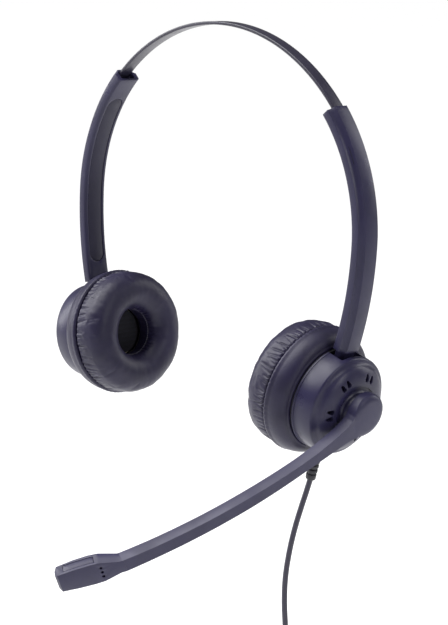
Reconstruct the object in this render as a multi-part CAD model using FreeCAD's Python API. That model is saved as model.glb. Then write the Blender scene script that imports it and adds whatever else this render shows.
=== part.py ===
import FreeCAD, Part
import os
from math import asin, cos, hypot, pi, radians, sin, tan

from FreeCAD import Placement, Rotation, Vector

# Office headset: a sprung steel band, two arms that slide along it, two swivelling ear cups
# and a microphone boom on the wearer's left cup.
# Millimetres. +X is the wearer's left, where the boom is, -Y the front and +Z up.
# The origin is midway between the two ear cushions, on the line through the ears.

# ---- driving dimensions --------------------------------------------------------------
# headband: a crown arc, then the tighter slide arc that the arms run on
BAND_TOP = 140.4
CROWN_RADIUS = 85.6
CROWN_ANGLE = 42.0
SLIDE_RADIUS = 78.4
BAND_THICKNESS = 1.4
BAND_WIDTH = 6.2
BAND_END_ANGLE = 64.5
STOP_START_ANGLE = 60.0
STOP_WIDTH = 8.4
STOP_SKIN = 0.01
STOP_OVERHANG = 0.8

# arms: angles along the slide arc, then a flatter arc down to the ear cup
ARM_RADIUS = 149.0
ARM_WIDTH = 11.6
ARM_OUTSIDE = 1.85
ARM_INSIDE = 4.2
ARM_BEVEL = 1.5
ARM_INNER_FILLET = 0.5
MOUTH_ANGLE = 47.5
MOUTH_END_ANGLE = 49.2
MOUTH_WIDTH = 9.0
MOUTH_INSIDE = 3.2
MOUTH_OUTSIDE = 1.1
THROAT_ANGLE = 56.9
CHANNEL_END_ANGLE = 80.2
CHANNEL_CLEARANCE = 0.2
CHANNEL_SIDE_GAP = 0.2
COVER_START_ANGLE = 59.3
COVER_END_ANGLE = 101.5
COVER_THICKNESS = 1.2
COVER_WIDTH = 7.6
SPRING_WIDTH = 5.0
SPRING_THICKNESS = 0.3
SPRING_GAP = 0.05

# swivel: a steel post down from the arm, in a block that tilts in the ear cup
PIVOT_ANGLE = 110.0
POST_RADIUS = 1.3
POST_DEPTH = 6.0
POST_BELOW_BLOCK = 1.6
CLIP_GROOVE_DEPTH = 0.5
CLIP_RIM = 1.2
CLIP_SLOT_HALF_WIDTH = 1.3
RUNNING_CLEARANCE = 0.06
BLOCK_HALF_HEIGHT = 4.0
BLOCK_HALF_DEPTH = 3.2
BLOCK_HALF_WIDTH = 4.5
CLIP_FOOT = Vector(0, 0, -BLOCK_HALF_HEIGHT - 1.0)
CLIP_HEAD = Vector(0, 0, -BLOCK_HALF_HEIGHT - 0.3)
TRUNNION_RADIUS = 1.9
TRUNNION_END = 7.8
BRACKET_HALF_HEIGHT = 3.4
BRACKET_REACH = 2.9
BRACKET_EAR_GAP = 0.5
BRACKET_EAR_OVERHANG = 0.4
BRACKET_BACK = 26.4
BRACKET_THICKNESS = 1.2
NECK_WIDTH = 9.4
NECK_THICKNESS = 4.0
NECK_START = 4.9
NECK_END = 9.3

# ear cups, along each cup's own axis from the cushion's widest plane
CUP_X = 50.2
CUP_TILT = 10.0
CUSHION_RADIUS = 26.3
CUSHION_HOLE = 10.2
CUSHION_CREST_DEPTH = -6.4
CUSHION_CREST_RADIUS = 18.3
CUSHION_THROAT_DEPTH = 1.0
SEAM_RADIUS = 26.9
SEAM_DEPTH = 8.6
SEAM_BAND = 1.2
SKIRT_WALL = 1.2
SKIRT_RADIUS = 22.4
SKIRT_DEPTH = 17.3
HOUSING_RADIUS = 21.5
HOUSING_FRONT = 17.9
HOUSING_BACK = 28.2
HOUSING_BACK_RADIUS = 20.7
HOUSING_WALL = 1.8
DOME_RADIUS = 17.4
DOME_TOP = 33.0
HUB_RADIUS = 10.5
HUB_FLOOR = 32.2
VENT_PAIRS = 6
VENT_START = -22.5
VENT_STEP = 57.0
VENT_HALF_GAP = 6.2
VENT_HEAD = (0.9, 13.4)
VENT_TAIL = (0.5, 15.0)
NOTCH_HALF_WIDTH = 6.2
NOTCH_BACK = 26.1
NOTCH_FLOOR = 15.0

# what the baffle carries behind the cushion, from the baffle's front face
BAFFLE_FRONT = SEAM_DEPTH + 0.9
BAFFLE_WALL = 1.8
BAFFLE_RIM = SEAM_RADIUS - 2.6
BAFFLE_BACK = SKIRT_DEPTH + 0.6
SPEAKER_RADIUS = 13.15
SPEAKER_SEAT_RADIUS = 13.2
SPEAKER_RIM_DEPTH = 3.0
BASKET_DEPTH = 5.0
BASKET_NECK = 6.6
MAGNET_RADIUS = 6.5
MAGNET_DEPTHS = (3.9, 7.2)
DIAPHRAGM_RADIUS = 11.3
SCREW_CIRCLE = 17.6
SCREW_ANGLES = (45, 135, 225, 315)
SCREW_HEAD = (1.9, 11.35, 12.5)
SCREW_SHANK = (0.95, 9.8, 11.35)
BOARD_DEPTHS = (24.6, 25.8)
BOARD_HALF_WIDTH = 9.0
BOARD_HEIGHTS = (-14.5, -6.5)

# microphone boom, in the plane of the ear cup's axis
BOOM_DROP = 30.0
BOOM_RADIUS = 277.0
BOOM_OUTSIDE = 40.3
BOOM_THICKNESS = 4.8
BOOM_LENGTH = 112.7
BOOM_DISC_RADIUS = 8.2
BOOM_START_WIDTH = 4.8
BOOM_END_WIDTH = 5.9
BOOM_NECK_END = 30.0
BOOM_NECK_START = 2.8
BOSS_RADIUS = 7.8
SCREW_RADIUS = 2.5
BOOM_SCREW_HEAD = 4.6
BOOM_SCREW_SINK = 2.6
BOOM_SCREW_END = 28.2
CAP_RADIUS = 5.1
CAP_DEPTH = 0.9
WASHER_DEPTHS = (29.3, 30.1)
NUT_RADIUS = 4.0
NUT_DEPTHS = (27.1, 29.3)
MIC_LENGTH = 25.3
MIC_TURN = 34.0
MIC_ROOT = (6.8, 4.4)
MIC_WIDEST = (9.4, 5.6)
MIC_WIDEST_AT = 9.0
MIC_NOSE = (8.4, 5.1)
MIC_NOSE_CHAMFER = 1.2
MIC_WALL = 0.9
MIC_CAVITY_HALF_WIDTH = 3.3
MIC_CAVITY_START = 6.0
MIC_WINDOW_START = 7.0
MIC_WINDOW_END = 21.7
MIC_WINDOW_TOP = 4.1
MIC_PORTS = (-1.7, 0.0, 1.7)
MIC_PORT_RADIUS = 0.45
MIC_ELEMENT = (1.2, 12.0, 15.0)

# cord, its strain relief, the put-away coil and the plug
CORD_RADIUS = 1.2
RELIEF_EXIT = Vector(21.5, -5.0, -21.3)
RELIEF_LENGTH = 13.0
RELIEF_SEAT_RADIUS = 2.1
RELIEF_TOP_RADIUS = 2.7
RELIEF_TIP_RADIUS = 1.9
RELIEF_NECK_LENGTH = 4.9
RELIEF_FLANGE_START = 4.0
RELIEF_GROOVE_FLOOR = 1.75
RELIEF_RIB_PITCH = 2.1
RELIEF_GROOVE_WIDTH = 0.8
COIL_RADIUS = 19.5
COIL_HOLE_RADIUS = 8.7
COIL_HALF_WIDTH = 4.8
COIL_CENTRE = Vector(48.0, -8.5, -127.5)
TIE_THICKNESS = 0.85
TIE_GAP = 0.05
TIE_HALF_WIDTH = 3.0
TAIL_ROUTE = [Vector(*point) for point in (
    (62.0, -11.4, -138.5), (61.8, -11.3, -142.0), (61.3, -11.0, -146.5), (61.0, -10.9, -150.5))]
PLUG_SLEEVE_LENGTH = 8.0
PLUG_GRIP_RADIUS = 3.9
PLUG_GRIP_END = 24.0
PLUG_LENGTH = 25.2
PLUG_PIN_RADIUS = 1.75
PLUG_PIN_LENGTH = 14.0

# ---- frames ---------------------------------------------------------------------------
FORWARD_AXIS = Vector(0, 1, 0)
CROWN_CENTRE = Vector(0, 0, BAND_TOP - CROWN_RADIUS)
SLIDE_CENTRE = CROWN_CENTRE + (CROWN_RADIUS - SLIDE_RADIUS) * Vector(
    sin(radians(CROWN_ANGLE)), 0, cos(radians(CROWN_ANGLE)))
ARM_CENTRE = SLIDE_CENTRE + Vector(SLIDE_RADIUS - ARM_RADIUS, 0, 0)
CUP = Placement(Vector(CUP_X, 0, 0), Rotation(FORWARD_AXIS, CUP_TILT))
BOOM = CUP * Placement(Vector(0, 0, 0), Rotation(Vector(1, 0, 0), 90 + BOOM_DROP))
CORD_ROUTE = [CUP.multVec(RELIEF_EXIT - Vector(0, 0, RELIEF_LENGTH))] + [Vector(*point) for point in (
    (64.6, -5.6, -42.0), (63.4, -6.9, -49.0), (61.9, -8.4, -58.0), (60.7, -9.7, -68.5), (60.0, -10.5, -80.0),
    (60.2, -10.3, -91.0), (61.0, -9.5, -101.5), (61.7, -8.8, -109.5), (62.0, -8.5, -115.5))]


def on_spine(angle, offset=0.0):
    """Point on the right side's centreline, angle degrees round from the top."""
    if angle <= CROWN_ANGLE:
        centre, radius = CROWN_CENTRE, CROWN_RADIUS
    elif angle <= 90:
        centre, radius = SLIDE_CENTRE, SLIDE_RADIUS
    else:
        centre, radius = ARM_CENTRE, ARM_RADIUS
    turn = radians(angle)
    return centre + (radius + offset) * Vector(sin(turn), 0, cos(turn))


PIVOT = Placement(on_spine(PIVOT_ANGLE, (ARM_OUTSIDE - ARM_INSIDE) / 2),
                  Rotation(FORWARD_AXIS, PIVOT_ANGLE - 90))


# ---- small shape helpers --------------------------------------------------------------
def mirrored(shape):
    return shape.mirror(Vector(0, 0, 0), Vector(1, 0, 0))


def placed(shape, frame):
    moved = shape.copy()
    moved.Placement = frame.multiply(moved.Placement)
    return moved


def box(x0, x1, y0, y1, z0, z1):
    return Part.makeBox(x1 - x0, y1 - y0, z1 - z0, Vector(x0, y0, z0))


def rod(radius, start, end):
    return Part.makeCylinder(radius, (end - start).Length, start, end - start)


def turned(points):
    """Solid of revolution about the local X axis from (x, radius) points."""
    outline = Part.makePolygon([Vector(x, 0, r) for x, r in points + points[:1]])
    return Part.Face(outline).revolve(Vector(0, 0, 0), Vector(1, 0, 0), 360)


def turned_wire(edges):
    return Part.Face(Part.Wire(edges)).revolve(Vector(0, 0, 0), Vector(1, 0, 0), 360)


def line(a, b):
    return Part.LineSegment(Vector(a[0], 0, a[1]), Vector(b[0], 0, b[1])).toShape()


def arc(a, b, c):
    return Part.Arc(Vector(a[0], 0, a[1]), Vector(b[0], 0, b[1]), Vector(c[0], 0, c[1])).toShape()


def spine_arc(start, end, offset):
    middle = (start + end) / 2
    return Part.Arc(on_spine(start, offset), on_spine(middle, offset), on_spine(end, offset)).toShape()


def strip(stops, inside, outside, width):
    """Strip that follows the spine through the angles in stops, width across the front-back axis."""
    outer = [spine_arc(a, b, outside) for a, b in zip(stops, stops[1:])]
    inner = [spine_arc(a, b, -inside) for a, b in zip(stops, stops[1:])]
    ends = [Part.makeLine(on_spine(a, -inside), on_spine(a, outside)) for a in (stops[0], stops[-1])]
    face = Part.Face(Part.Wire(Part.__sortEdges__(outer + inner + ends)))
    face.translate(Vector(0, -width / 2, 0))
    return face.extrude(Vector(0, width, 0))


def stadium_cutter(start, end, width):
    """Rounded-end prism that trims a strip to a stadium between two spine angles."""
    radius = width / 2
    below, above = 8, 4
    body = strip([start, 90, end], below, above, width)
    caps = []
    for angle in (start, end):
        middle = on_spine(angle)
        out = Vector(sin(radians(angle)), 0, cos(radians(angle)))
        caps.append(rod(radius, middle - below * out, middle + above * out))
    return body.fuse(caps)


def long_edges(shape, offset, half_width):
    """Edges of an arm that run along it at one offset from the spine and one side."""
    found = []
    for edge in shape.Edges:
        middle = edge.valueAt((edge.FirstParameter + edge.LastParameter) / 2)
        if edge.Length < 8 or abs(abs(middle.y) - half_width) > 0.01:
            continue
        for centre, radius in ((SLIDE_CENTRE, SLIDE_RADIUS), (ARM_CENTRE, ARM_RADIUS)):
            reach = hypot(middle.x - centre.x, middle.z - centre.z)
            if abs(reach - radius - offset) < 0.02:
                found.append(edge)
    return found


# ---- headband -------------------------------------------------------------------------
def headband():
    """One strip of spring steel from end to end, its edges rolled round."""
    half = strip([0, CROWN_ANGLE, BAND_END_ANGLE], BAND_THICKNESS / 2, BAND_THICKNESS / 2, BAND_WIDTH)
    whole = half.fuse(mirrored(half)).removeSplitter()
    edges = []
    for edge in whole.Edges:
        if edge.Length > 12:
            edges.append(edge)
    return whole.makeFillet(0.35, edges)


def band_stop():
    """Moulded tab riveted over the band's end; the arm's throat stops it."""
    half = BAND_THICKNESS / 2
    skin = half + STOP_SKIN
    tab = strip([STOP_START_ANGLE, BAND_END_ANGLE + STOP_OVERHANG], skin, skin, STOP_WIDTH)
    steel = strip([STOP_START_ANGLE - 1, BAND_END_ANGLE], half, half, BAND_WIDTH)
    return tab.cut(steel)


# ---- arms -----------------------------------------------------------------------------
def arm_shell():
    """Moulded arm with a curved channel for the band and a pocket for the inner cover."""
    arm = strip([MOUTH_ANGLE, 90, PIVOT_ANGLE], ARM_INSIDE, ARM_OUTSIDE, ARM_WIDTH)
    arm = arm.makeChamfer(ARM_BEVEL, long_edges(arm, ARM_OUTSIDE, ARM_WIDTH / 2))
    arm = arm.makeFillet(ARM_INNER_FILLET, long_edges(arm, -ARM_INSIDE, ARM_WIDTH / 2))
    gap = BAND_THICKNESS / 2 + CHANNEL_CLEARANCE
    mouth = strip([MOUTH_ANGLE - 1, MOUTH_END_ANGLE], MOUTH_INSIDE, MOUTH_OUTSIDE, MOUTH_WIDTH)
    throat = strip([MOUTH_ANGLE - 1, THROAT_ANGLE + 1], gap, gap, BAND_WIDTH + 2 * CHANNEL_SIDE_GAP)
    channel = strip([THROAT_ANGLE, CHANNEL_END_ANGLE], gap, gap, STOP_WIDTH + 2 * CHANNEL_SIDE_GAP)
    pocket = strip([THROAT_ANGLE + 2, CHANNEL_END_ANGLE - 2], ARM_INSIDE - COVER_THICKNESS, 0,
                   SPRING_WIDTH + 2 * CHANNEL_SIDE_GAP)
    recess = strip([COVER_START_ANGLE - 4, 90, COVER_END_ANGLE + 4], ARM_INSIDE + 1,
                   -(ARM_INSIDE - COVER_THICKNESS), COVER_WIDTH + 1)
    recess = recess.common(stadium_cutter(COVER_START_ANGLE, COVER_END_ANGLE, COVER_WIDTH))
    waste = placed(box(-9, 9, -9, 9, -20, NECK_START), PIVOT)
    neck_ring = box(-9, 9, -9, 9, NECK_START, NECK_END)
    neck = box(-NECK_THICKNESS / 2, NECK_THICKNESS / 2, -NECK_WIDTH / 2, NECK_WIDTH / 2, 0, NECK_END + 1)
    bore = rod(POST_RADIUS, Vector(0, 0, 0), Vector(0, 0, NECK_START + POST_DEPTH))
    shoulder = placed(neck_ring.cut(neck), PIVOT)
    return arm.cut([mouth, throat, channel, pocket, recess, waste, shoulder, placed(bore, PIVOT)])


def arm_cover():
    """Stadium-shaped inner cover, snapped in over the spring pocket."""
    plate = strip([COVER_START_ANGLE - 4, 90, COVER_END_ANGLE + 4], ARM_INSIDE - 0.1,
                  -(ARM_INSIDE - COVER_THICKNESS), COVER_WIDTH)
    return plate.common(stadium_cutter(COVER_START_ANGLE, COVER_END_ANGLE, COVER_WIDTH - 0.3))


def detent_spring():
    """Bowed leaf that presses towards the band's notches, its ends resting on the cover."""
    start, end = THROAT_ANGLE + 2.6, CHANNEL_END_ANGLE - 2.6
    low = -(ARM_INSIDE - COVER_THICKNESS) + SPRING_GAP
    high = -(BAND_THICKNESS / 2 + CHANNEL_CLEARANCE + SPRING_THICKNESS + SPRING_GAP)
    middle = (start + end) / 2
    under = Part.Arc(on_spine(start, low), on_spine(middle, high), on_spine(end, low)).toShape()
    over = Part.Arc(on_spine(start, low + SPRING_THICKNESS), on_spine(middle, high + SPRING_THICKNESS),
                    on_spine(end, low + SPRING_THICKNESS)).toShape()
    ends = [Part.makeLine(on_spine(a, low), on_spine(a, low + SPRING_THICKNESS)) for a in (start, end)]
    face = Part.Face(Part.Wire(Part.__sortEdges__([under, over] + ends)))
    face.translate(Vector(0, -SPRING_WIDTH / 2, 0))
    return face.extrude(Vector(0, SPRING_WIDTH, 0))


# ---- swivel ---------------------------------------------------------------------------
def swivel_post():
    """Steel post pressed into the arm's neck, with a groove for its clip."""
    foot = Vector(0, 0, -BLOCK_HALF_HEIGHT - POST_BELOW_BLOCK)
    post = rod(POST_RADIUS, foot, Vector(0, 0, NECK_START + POST_DEPTH))
    core = rod(POST_RADIUS - CLIP_GROOVE_DEPTH, CLIP_FOOT, CLIP_HEAD)
    groove = rod(POST_RADIUS + 1, CLIP_FOOT, CLIP_HEAD).cut(core)
    return placed(post.cut(groove), PIVOT)


def swivel_clip():
    """Open retaining clip in the post's groove, under the block."""
    core = rod(POST_RADIUS - CLIP_GROOVE_DEPTH, CLIP_FOOT, CLIP_HEAD)
    ring = rod(POST_RADIUS + CLIP_RIM, CLIP_FOOT, CLIP_HEAD).cut(core)
    slot = box(0, 4, -CLIP_SLOT_HALF_WIDTH, CLIP_SLOT_HALF_WIDTH, CLIP_FOOT.z - 1, CLIP_HEAD.z + 1)
    return placed(ring.cut(slot), PIVOT)


def swivel_block():
    """Block that turns on the post and tilts on its own two trunnions."""
    block = box(-BLOCK_HALF_DEPTH, BLOCK_HALF_DEPTH, -BLOCK_HALF_WIDTH, BLOCK_HALF_WIDTH,
                -BLOCK_HALF_HEIGHT, BLOCK_HALF_HEIGHT)
    trunnions = rod(TRUNNION_RADIUS, Vector(0, -TRUNNION_END, 0), Vector(0, TRUNNION_END, 0))
    bore = rod(POST_RADIUS + RUNNING_CLEARANCE, Vector(0, 0, -9), Vector(0, 0, 9))
    return placed(block.fuse(trunnions).removeSplitter().cut(bore), PIVOT)


def pivot_local():
    """The swivel's centre in the ear cup's own frame."""
    return CUP.inverse().multVec(PIVOT.Base)


def swivel_bracket():
    """Saddle with two ears that hold the block's trunnions inside the ear cup."""
    at = pivot_local()
    low, high = at.z - BRACKET_HALF_HEIGHT, at.z + BRACKET_HALF_HEIGHT
    end = TRUNNION_END + BRACKET_EAR_OVERHANG
    ears = []
    for side in (-1, 1):
        y0, y1 = sorted((side * (BLOCK_HALF_WIDTH + BRACKET_EAR_GAP), side * end))
        ears.append(box(at.x - BRACKET_REACH, BRACKET_BACK - BRACKET_EAR_GAP, y0, y1, low, high))
    back = box(BRACKET_BACK - BRACKET_THICKNESS, BRACKET_BACK, -end, end, low, high)
    bore = rod(TRUNNION_RADIUS + RUNNING_CLEARANCE, Vector(at.x, -12, at.z), Vector(at.x, 12, at.z))
    return placed(back.fuse(ears).removeSplitter().cut(bore), CUP)


# ---- ear cups -------------------------------------------------------------------------
def housing_profile(inset):
    """Outline of the cup's shell from its front edge to its axis, moved in by inset."""
    front = (HOUSING_FRONT, HOUSING_RADIUS - inset)
    shoulder = (HOUSING_BACK - 0.6 * inset, HOUSING_BACK_RADIUS - inset)
    cove = (HOUSING_BACK + 1.5 - inset, DOME_RADIUS + 0.9 - inset)
    dome_foot = (HOUSING_BACK + 2.2 - inset, DOME_RADIUS - inset)
    dome_top = (DOME_TOP - inset, HUB_RADIUS)
    return front, shoulder, cove, dome_foot, dome_top


def cup_housing(with_boom):
    """Back shell of the ear cup with a coved shoulder and a dome, open at the front."""
    front, shoulder, cove, foot, top = housing_profile(0)
    bulge = (foot[0] + 0.72 * (top[0] - foot[0]), foot[1] + 0.36 * (top[1] - foot[1]))
    hub_rim = (HUB_FLOOR, HUB_RADIUS)
    outer = turned_wire([
        line((HOUSING_FRONT, 0), front), line(front, shoulder), line(shoulder, cove), line(cove, foot),
        arc(foot, bulge, top), line(top, hub_rim), line(hub_rim, (HUB_FLOOR, 0)),
        line((HUB_FLOOR, 0), (HOUSING_FRONT, 0))])
    front, shoulder, cove, foot, top = housing_profile(HOUSING_WALL)
    floor = HUB_FLOOR - HOUSING_WALL
    inner = turned([(HOUSING_FRONT - 1, 0), (HOUSING_FRONT - 1, front[1]), front, shoulder, foot,
                    (floor, HUB_RADIUS - 1), (floor, 0)])
    shell = outer.cut(inner)
    notch = box(HOUSING_FRONT - 1, NOTCH_BACK, -NOTCH_HALF_WIDTH, NOTCH_HALF_WIDTH, NOTCH_FLOOR, 26)
    axle_hole = rod(SCREW_RADIUS + RUNNING_CLEARANCE, Vector(20, 0, 0), Vector(40, 0, 0))
    cutters = [notch]
    if with_boom:
        cutters += [axle_hole, rod(RELIEF_SEAT_RADIUS, RELIEF_EXIT, RELIEF_EXIT + Vector(0, 0, 6))]
        cutters += vents()
    return placed(shell.cut(cutters), CUP)


def vents():
    """Pairs of teardrop slots round the dome."""
    head_radius, head_at = VENT_HEAD
    tail_radius, tail_at = VENT_TAIL
    front, back = HOUSING_BACK - 3, DOME_TOP + 3
    slots = []
    for pair in range(VENT_PAIRS):
        for half in (-1, 1):
            hole = rod(head_radius, Vector(front, 0, head_at), Vector(back, 0, head_at))
            tail = rod(tail_radius, Vector(front, 0, tail_at), Vector(back, 0, tail_at))
            web = box(front, back, -tail_radius, tail_radius, head_at, tail_at)
            slot = hole.fuse([tail, web])
            turn = VENT_START + pair * VENT_STEP + half * VENT_HALF_GAP
            slot.rotate(Vector(0, 0, 0), Vector(1, 0, 0), turn)
            slots.append(slot)
    return slots


def hub_plug():
    """Plain disc that closes the hub on the cup without a boom."""
    disc = turned([(HUB_FLOOR, 0), (HUB_FLOOR, HUB_RADIUS - 0.4), (DOME_TOP - 0.1, HUB_RADIUS - 0.4),
                   (DOME_TOP + 0.5, HUB_RADIUS - 2.0), (DOME_TOP + 0.8, 0)])
    return placed(disc, CUP)


def baffle():
    """Front plate and cone that carry the speaker; the cushion's skirt stretches over it."""
    cone = turned([
        (BAFFLE_FRONT, 0), (BAFFLE_FRONT, BAFFLE_RIM), (BAFFLE_BACK, HOUSING_RADIUS - 0.8),
        (BAFFLE_BACK, HOUSING_RADIUS - 0.8 - BAFFLE_WALL), (BAFFLE_FRONT + BAFFLE_WALL, BAFFLE_RIM - 2.2),
        (BAFFLE_FRONT + BAFFLE_WALL, 0)])
    seat_back = BAFFLE_FRONT + SPEAKER_RIM_DEPTH
    seat = rod(SPEAKER_SEAT_RADIUS, Vector(BAFFLE_FRONT - 1, 0, 0), Vector(seat_back, 0, 0))
    holes = []
    for angle in SCREW_ANGLES:
        hole = rod(SCREW_SHANK[0] + 0.1, Vector(0, 0, SCREW_CIRCLE), Vector(20, 0, SCREW_CIRCLE))
        hole.rotate(Vector(0, 0, 0), Vector(1, 0, 0), angle)
        holes.append(hole)
    return placed(cone.cut([seat] + holes), CUP)


def baffle_screws():
    """Four small screws from the baffle into the housing's posts."""
    screws = []
    for angle in SCREW_ANGLES:
        head, shank = (rod(radius, Vector(front, 0, SCREW_CIRCLE), Vector(back, 0, SCREW_CIRCLE))
                       for radius, front, back in (SCREW_HEAD, SCREW_SHANK))
        screw = head.fuse(shank).removeSplitter()
        screw.rotate(Vector(0, 0, 0), Vector(1, 0, 0), angle)
        screws.append(screw)
    return placed(Part.makeCompound(screws), CUP)


def speaker_frame():
    """Basket of the speaker: a ring in the baffle's seat and a cup behind it."""
    rim_back = BAFFLE_FRONT + SPEAKER_RIM_DEPTH
    back = BAFFLE_FRONT + BASKET_DEPTH
    basket = turned([
        (BAFFLE_FRONT, 11.4), (BAFFLE_FRONT, SPEAKER_RADIUS), (rim_back, SPEAKER_RADIUS),
        (back, 9.0), (back, BASKET_NECK), (back - 1.2, BASKET_NECK), (rim_back - 1, 11.4)])
    return placed(basket, CUP)


def speaker_magnet():
    front, back = (Vector(BAFFLE_FRONT + depth, 0, 0) for depth in MAGNET_DEPTHS)
    return placed(rod(MAGNET_RADIUS, front, back), CUP)


def speaker_diaphragm():
    """Shallow cone, 0.2 thick and 0.4 deep, just behind the baffle's face."""
    at = BAFFLE_FRONT + 0.5
    rim = DIAPHRAGM_RADIUS
    return placed(turned([(at, 0), (at + 0.4, rim), (at + 0.6, rim), (at + 0.2, 0)]), CUP)


def cushion():
    """Foam ring in a gathered cover, with a skirt behind it that grips the baffle."""
    crest = (CUSHION_CREST_DEPTH, CUSHION_CREST_RADIUS)
    throat = (CUSHION_THROAT_DEPTH, CUSHION_HOLE)
    side = (0, CUSHION_RADIUS)
    inner_bulge = (CUSHION_CREST_DEPTH + 2.3, CUSHION_HOLE + 2.9)
    outer_bulge = (CUSHION_CREST_DEPTH + 1.8, CUSHION_RADIUS - 3.1)
    seam_front = (SEAM_DEPTH - SEAM_BAND, SEAM_RADIUS)
    seam_back = (SEAM_DEPTH, SEAM_RADIUS)
    skirt = (SKIRT_DEPTH, SKIRT_RADIUS)
    skirt_inside = (SKIRT_DEPTH, SKIRT_RADIUS - SKIRT_WALL)
    back_rim = (SEAM_DEPTH + 0.3, SEAM_RADIUS - 1.6)
    back_hole = (SEAM_DEPTH + 0.3, CUSHION_HOLE)
    return placed(turned_wire([
        arc(throat, inner_bulge, crest), arc(crest, outer_bulge, side), line(side, seam_front),
        line(seam_front, seam_back), line(seam_back, skirt), line(skirt, skirt_inside),
        line(skirt_inside, back_rim), line(back_rim, back_hole), line(back_hole, throat)]), CUP)


def cushion_scrim():
    """Thin foam disc across the back of the cushion's hole, over the speaker."""
    front, back = Vector(SEAM_DEPTH - 0.5, 0, 0), Vector(SEAM_DEPTH + 0.25, 0, 0)
    return placed(rod(CUSHION_HOLE - 0.15, front, back), CUP)


# ---- microphone boom ------------------------------------------------------------------
def boss_ring():
    """Bearing ring on the boom-side dome, round the pivot screw."""
    bore = SCREW_RADIUS + RUNNING_CLEARANCE
    under = BOOM_OUTSIDE - BOOM_THICKNESS
    return placed(turned([(HUB_FLOOR, bore), (HUB_FLOOR, BOSS_RADIUS), (under - 0.6, BOSS_RADIUS),
                          (under - 0.2, BOSS_RADIUS - 0.4), (under - 0.2, bore)]), CUP)


def boom_curve(along, offset=0.0):
    """(x, z) on the boom's outer face, along its length, moved in by offset."""
    turn = asin(along / BOOM_RADIUS)
    reach = BOOM_RADIUS - offset
    return BOOM_OUTSIDE - BOOM_RADIUS + reach * cos(turn), reach * sin(turn)


def boom_blank():
    """Curved bar with a round pivot disc at its root."""
    ends = (-BOOM_DISC_RADIUS - 1, BOOM_LENGTH)
    middle = sum(ends) / 2
    outer = arc(*(boom_curve(a) for a in (ends[0], middle, ends[1])))
    inner = arc(*(boom_curve(a, BOOM_THICKNESS) for a in (ends[0], middle, ends[1])))
    closers = [line(boom_curve(a), boom_curve(a, BOOM_THICKNESS)) for a in ends]
    side = Part.Face(Part.Wire(Part.__sortEdges__([outer, inner] + closers)))
    side.translate(Vector(0, -12, 0))
    slab = side.extrude(Vector(0, 24, 0))
    waist, tip, root = BOOM_START_WIDTH / 2, BOOM_END_WIDTH / 2, BOOM_DISC_RADIUS * 0.94
    plan = Part.makePolygon([Vector(0, y, z) for y, z in (
        (-waist, BOOM_NECK_END), (-tip, BOOM_LENGTH + 1), (tip, BOOM_LENGTH + 1), (waist, BOOM_NECK_END),
        (root, BOOM_NECK_START), (-root, BOOM_NECK_START), (-waist, BOOM_NECK_END))])
    bar = Part.Face(plan).extrude(Vector(60, 0, 0))
    disc = Part.makeCylinder(BOOM_DISC_RADIUS, 60, Vector(0, 0, 0), Vector(1, 0, 0))
    return slab.common(bar.fuse(disc).removeSplitter())


def boom_arm():
    """Moulded boom, drilled for the pivot screw and its head."""
    blank = boom_blank()
    shank = rod(SCREW_RADIUS, Vector(20, 0, 0), Vector(60, 0, 0))
    head = rod(CAP_RADIUS + 0.1, Vector(BOOM_OUTSIDE - BOOM_SCREW_SINK, 0, 0), Vector(60, 0, 0))
    return placed(blank.cut([shank, head]), BOOM)


def boom_cap():
    """Snap-in cap over the screw's head, flush with the boom's face."""
    plug = rod(CAP_RADIUS, Vector(BOOM_OUTSIDE - CAP_DEPTH, 0, 0), Vector(BOOM_OUTSIDE + 2, 0, 0))
    return placed(plug.common(boom_blank()), BOOM)


def boom_screw():
    """Shoulder screw that the boom turns with in the cup."""
    seat = Vector(BOOM_OUTSIDE - BOOM_SCREW_SINK, 0, 0)
    shank = rod(SCREW_RADIUS, Vector(BOOM_SCREW_END, 0, 0), seat)
    head = rod(BOOM_SCREW_HEAD, seat, Vector(BOOM_OUTSIDE - CAP_DEPTH - 0.2, 0, 0))
    return placed(shank.fuse(head).removeSplitter(), BOOM)


def boom_washer():
    """Friction washer under the dome, on the screw's end."""
    low, high = (Vector(depth, 0, 0) for depth in WASHER_DEPTHS)
    return placed(rod(BOOM_SCREW_HEAD, low, high).cut(rod(SCREW_RADIUS, low, high)), BOOM)


def boom_nut():
    """Hexagonal lock nut behind the washer, blind at its end."""
    low, high = NUT_DEPTHS
    corners = [Vector(low, NUT_RADIUS * cos(turn), NUT_RADIUS * sin(turn))
               for turn in (pi / 3 * side for side in range(7))]
    nut = Part.Face(Part.makePolygon(corners)).extrude(Vector(high - low, 0, 0))
    thread = rod(SCREW_RADIUS, Vector(BOOM_SCREW_END, 0, 0), Vector(high + 1, 0, 0))
    return placed(nut.cut(thread), BOOM)


def mic_frame():
    """Frame at the boom's end: X out of its face, Z along the microphone."""
    x, z = boom_curve(BOOM_LENGTH)
    return BOOM * Placement(Vector(x, 0, z), Rotation(Vector(0, 1, 0), -MIC_TURN))


def mic_section(along, size):
    """Cross-section of the microphone shell, its outer face on X = 0."""
    width, thickness = size
    half = width / 2
    corners = [(-thickness, -half), (0, -half), (0, half), (-thickness, half)]
    return Part.makePolygon([Vector(x, y, along) for x, y in corners + corners[:1]])


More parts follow.
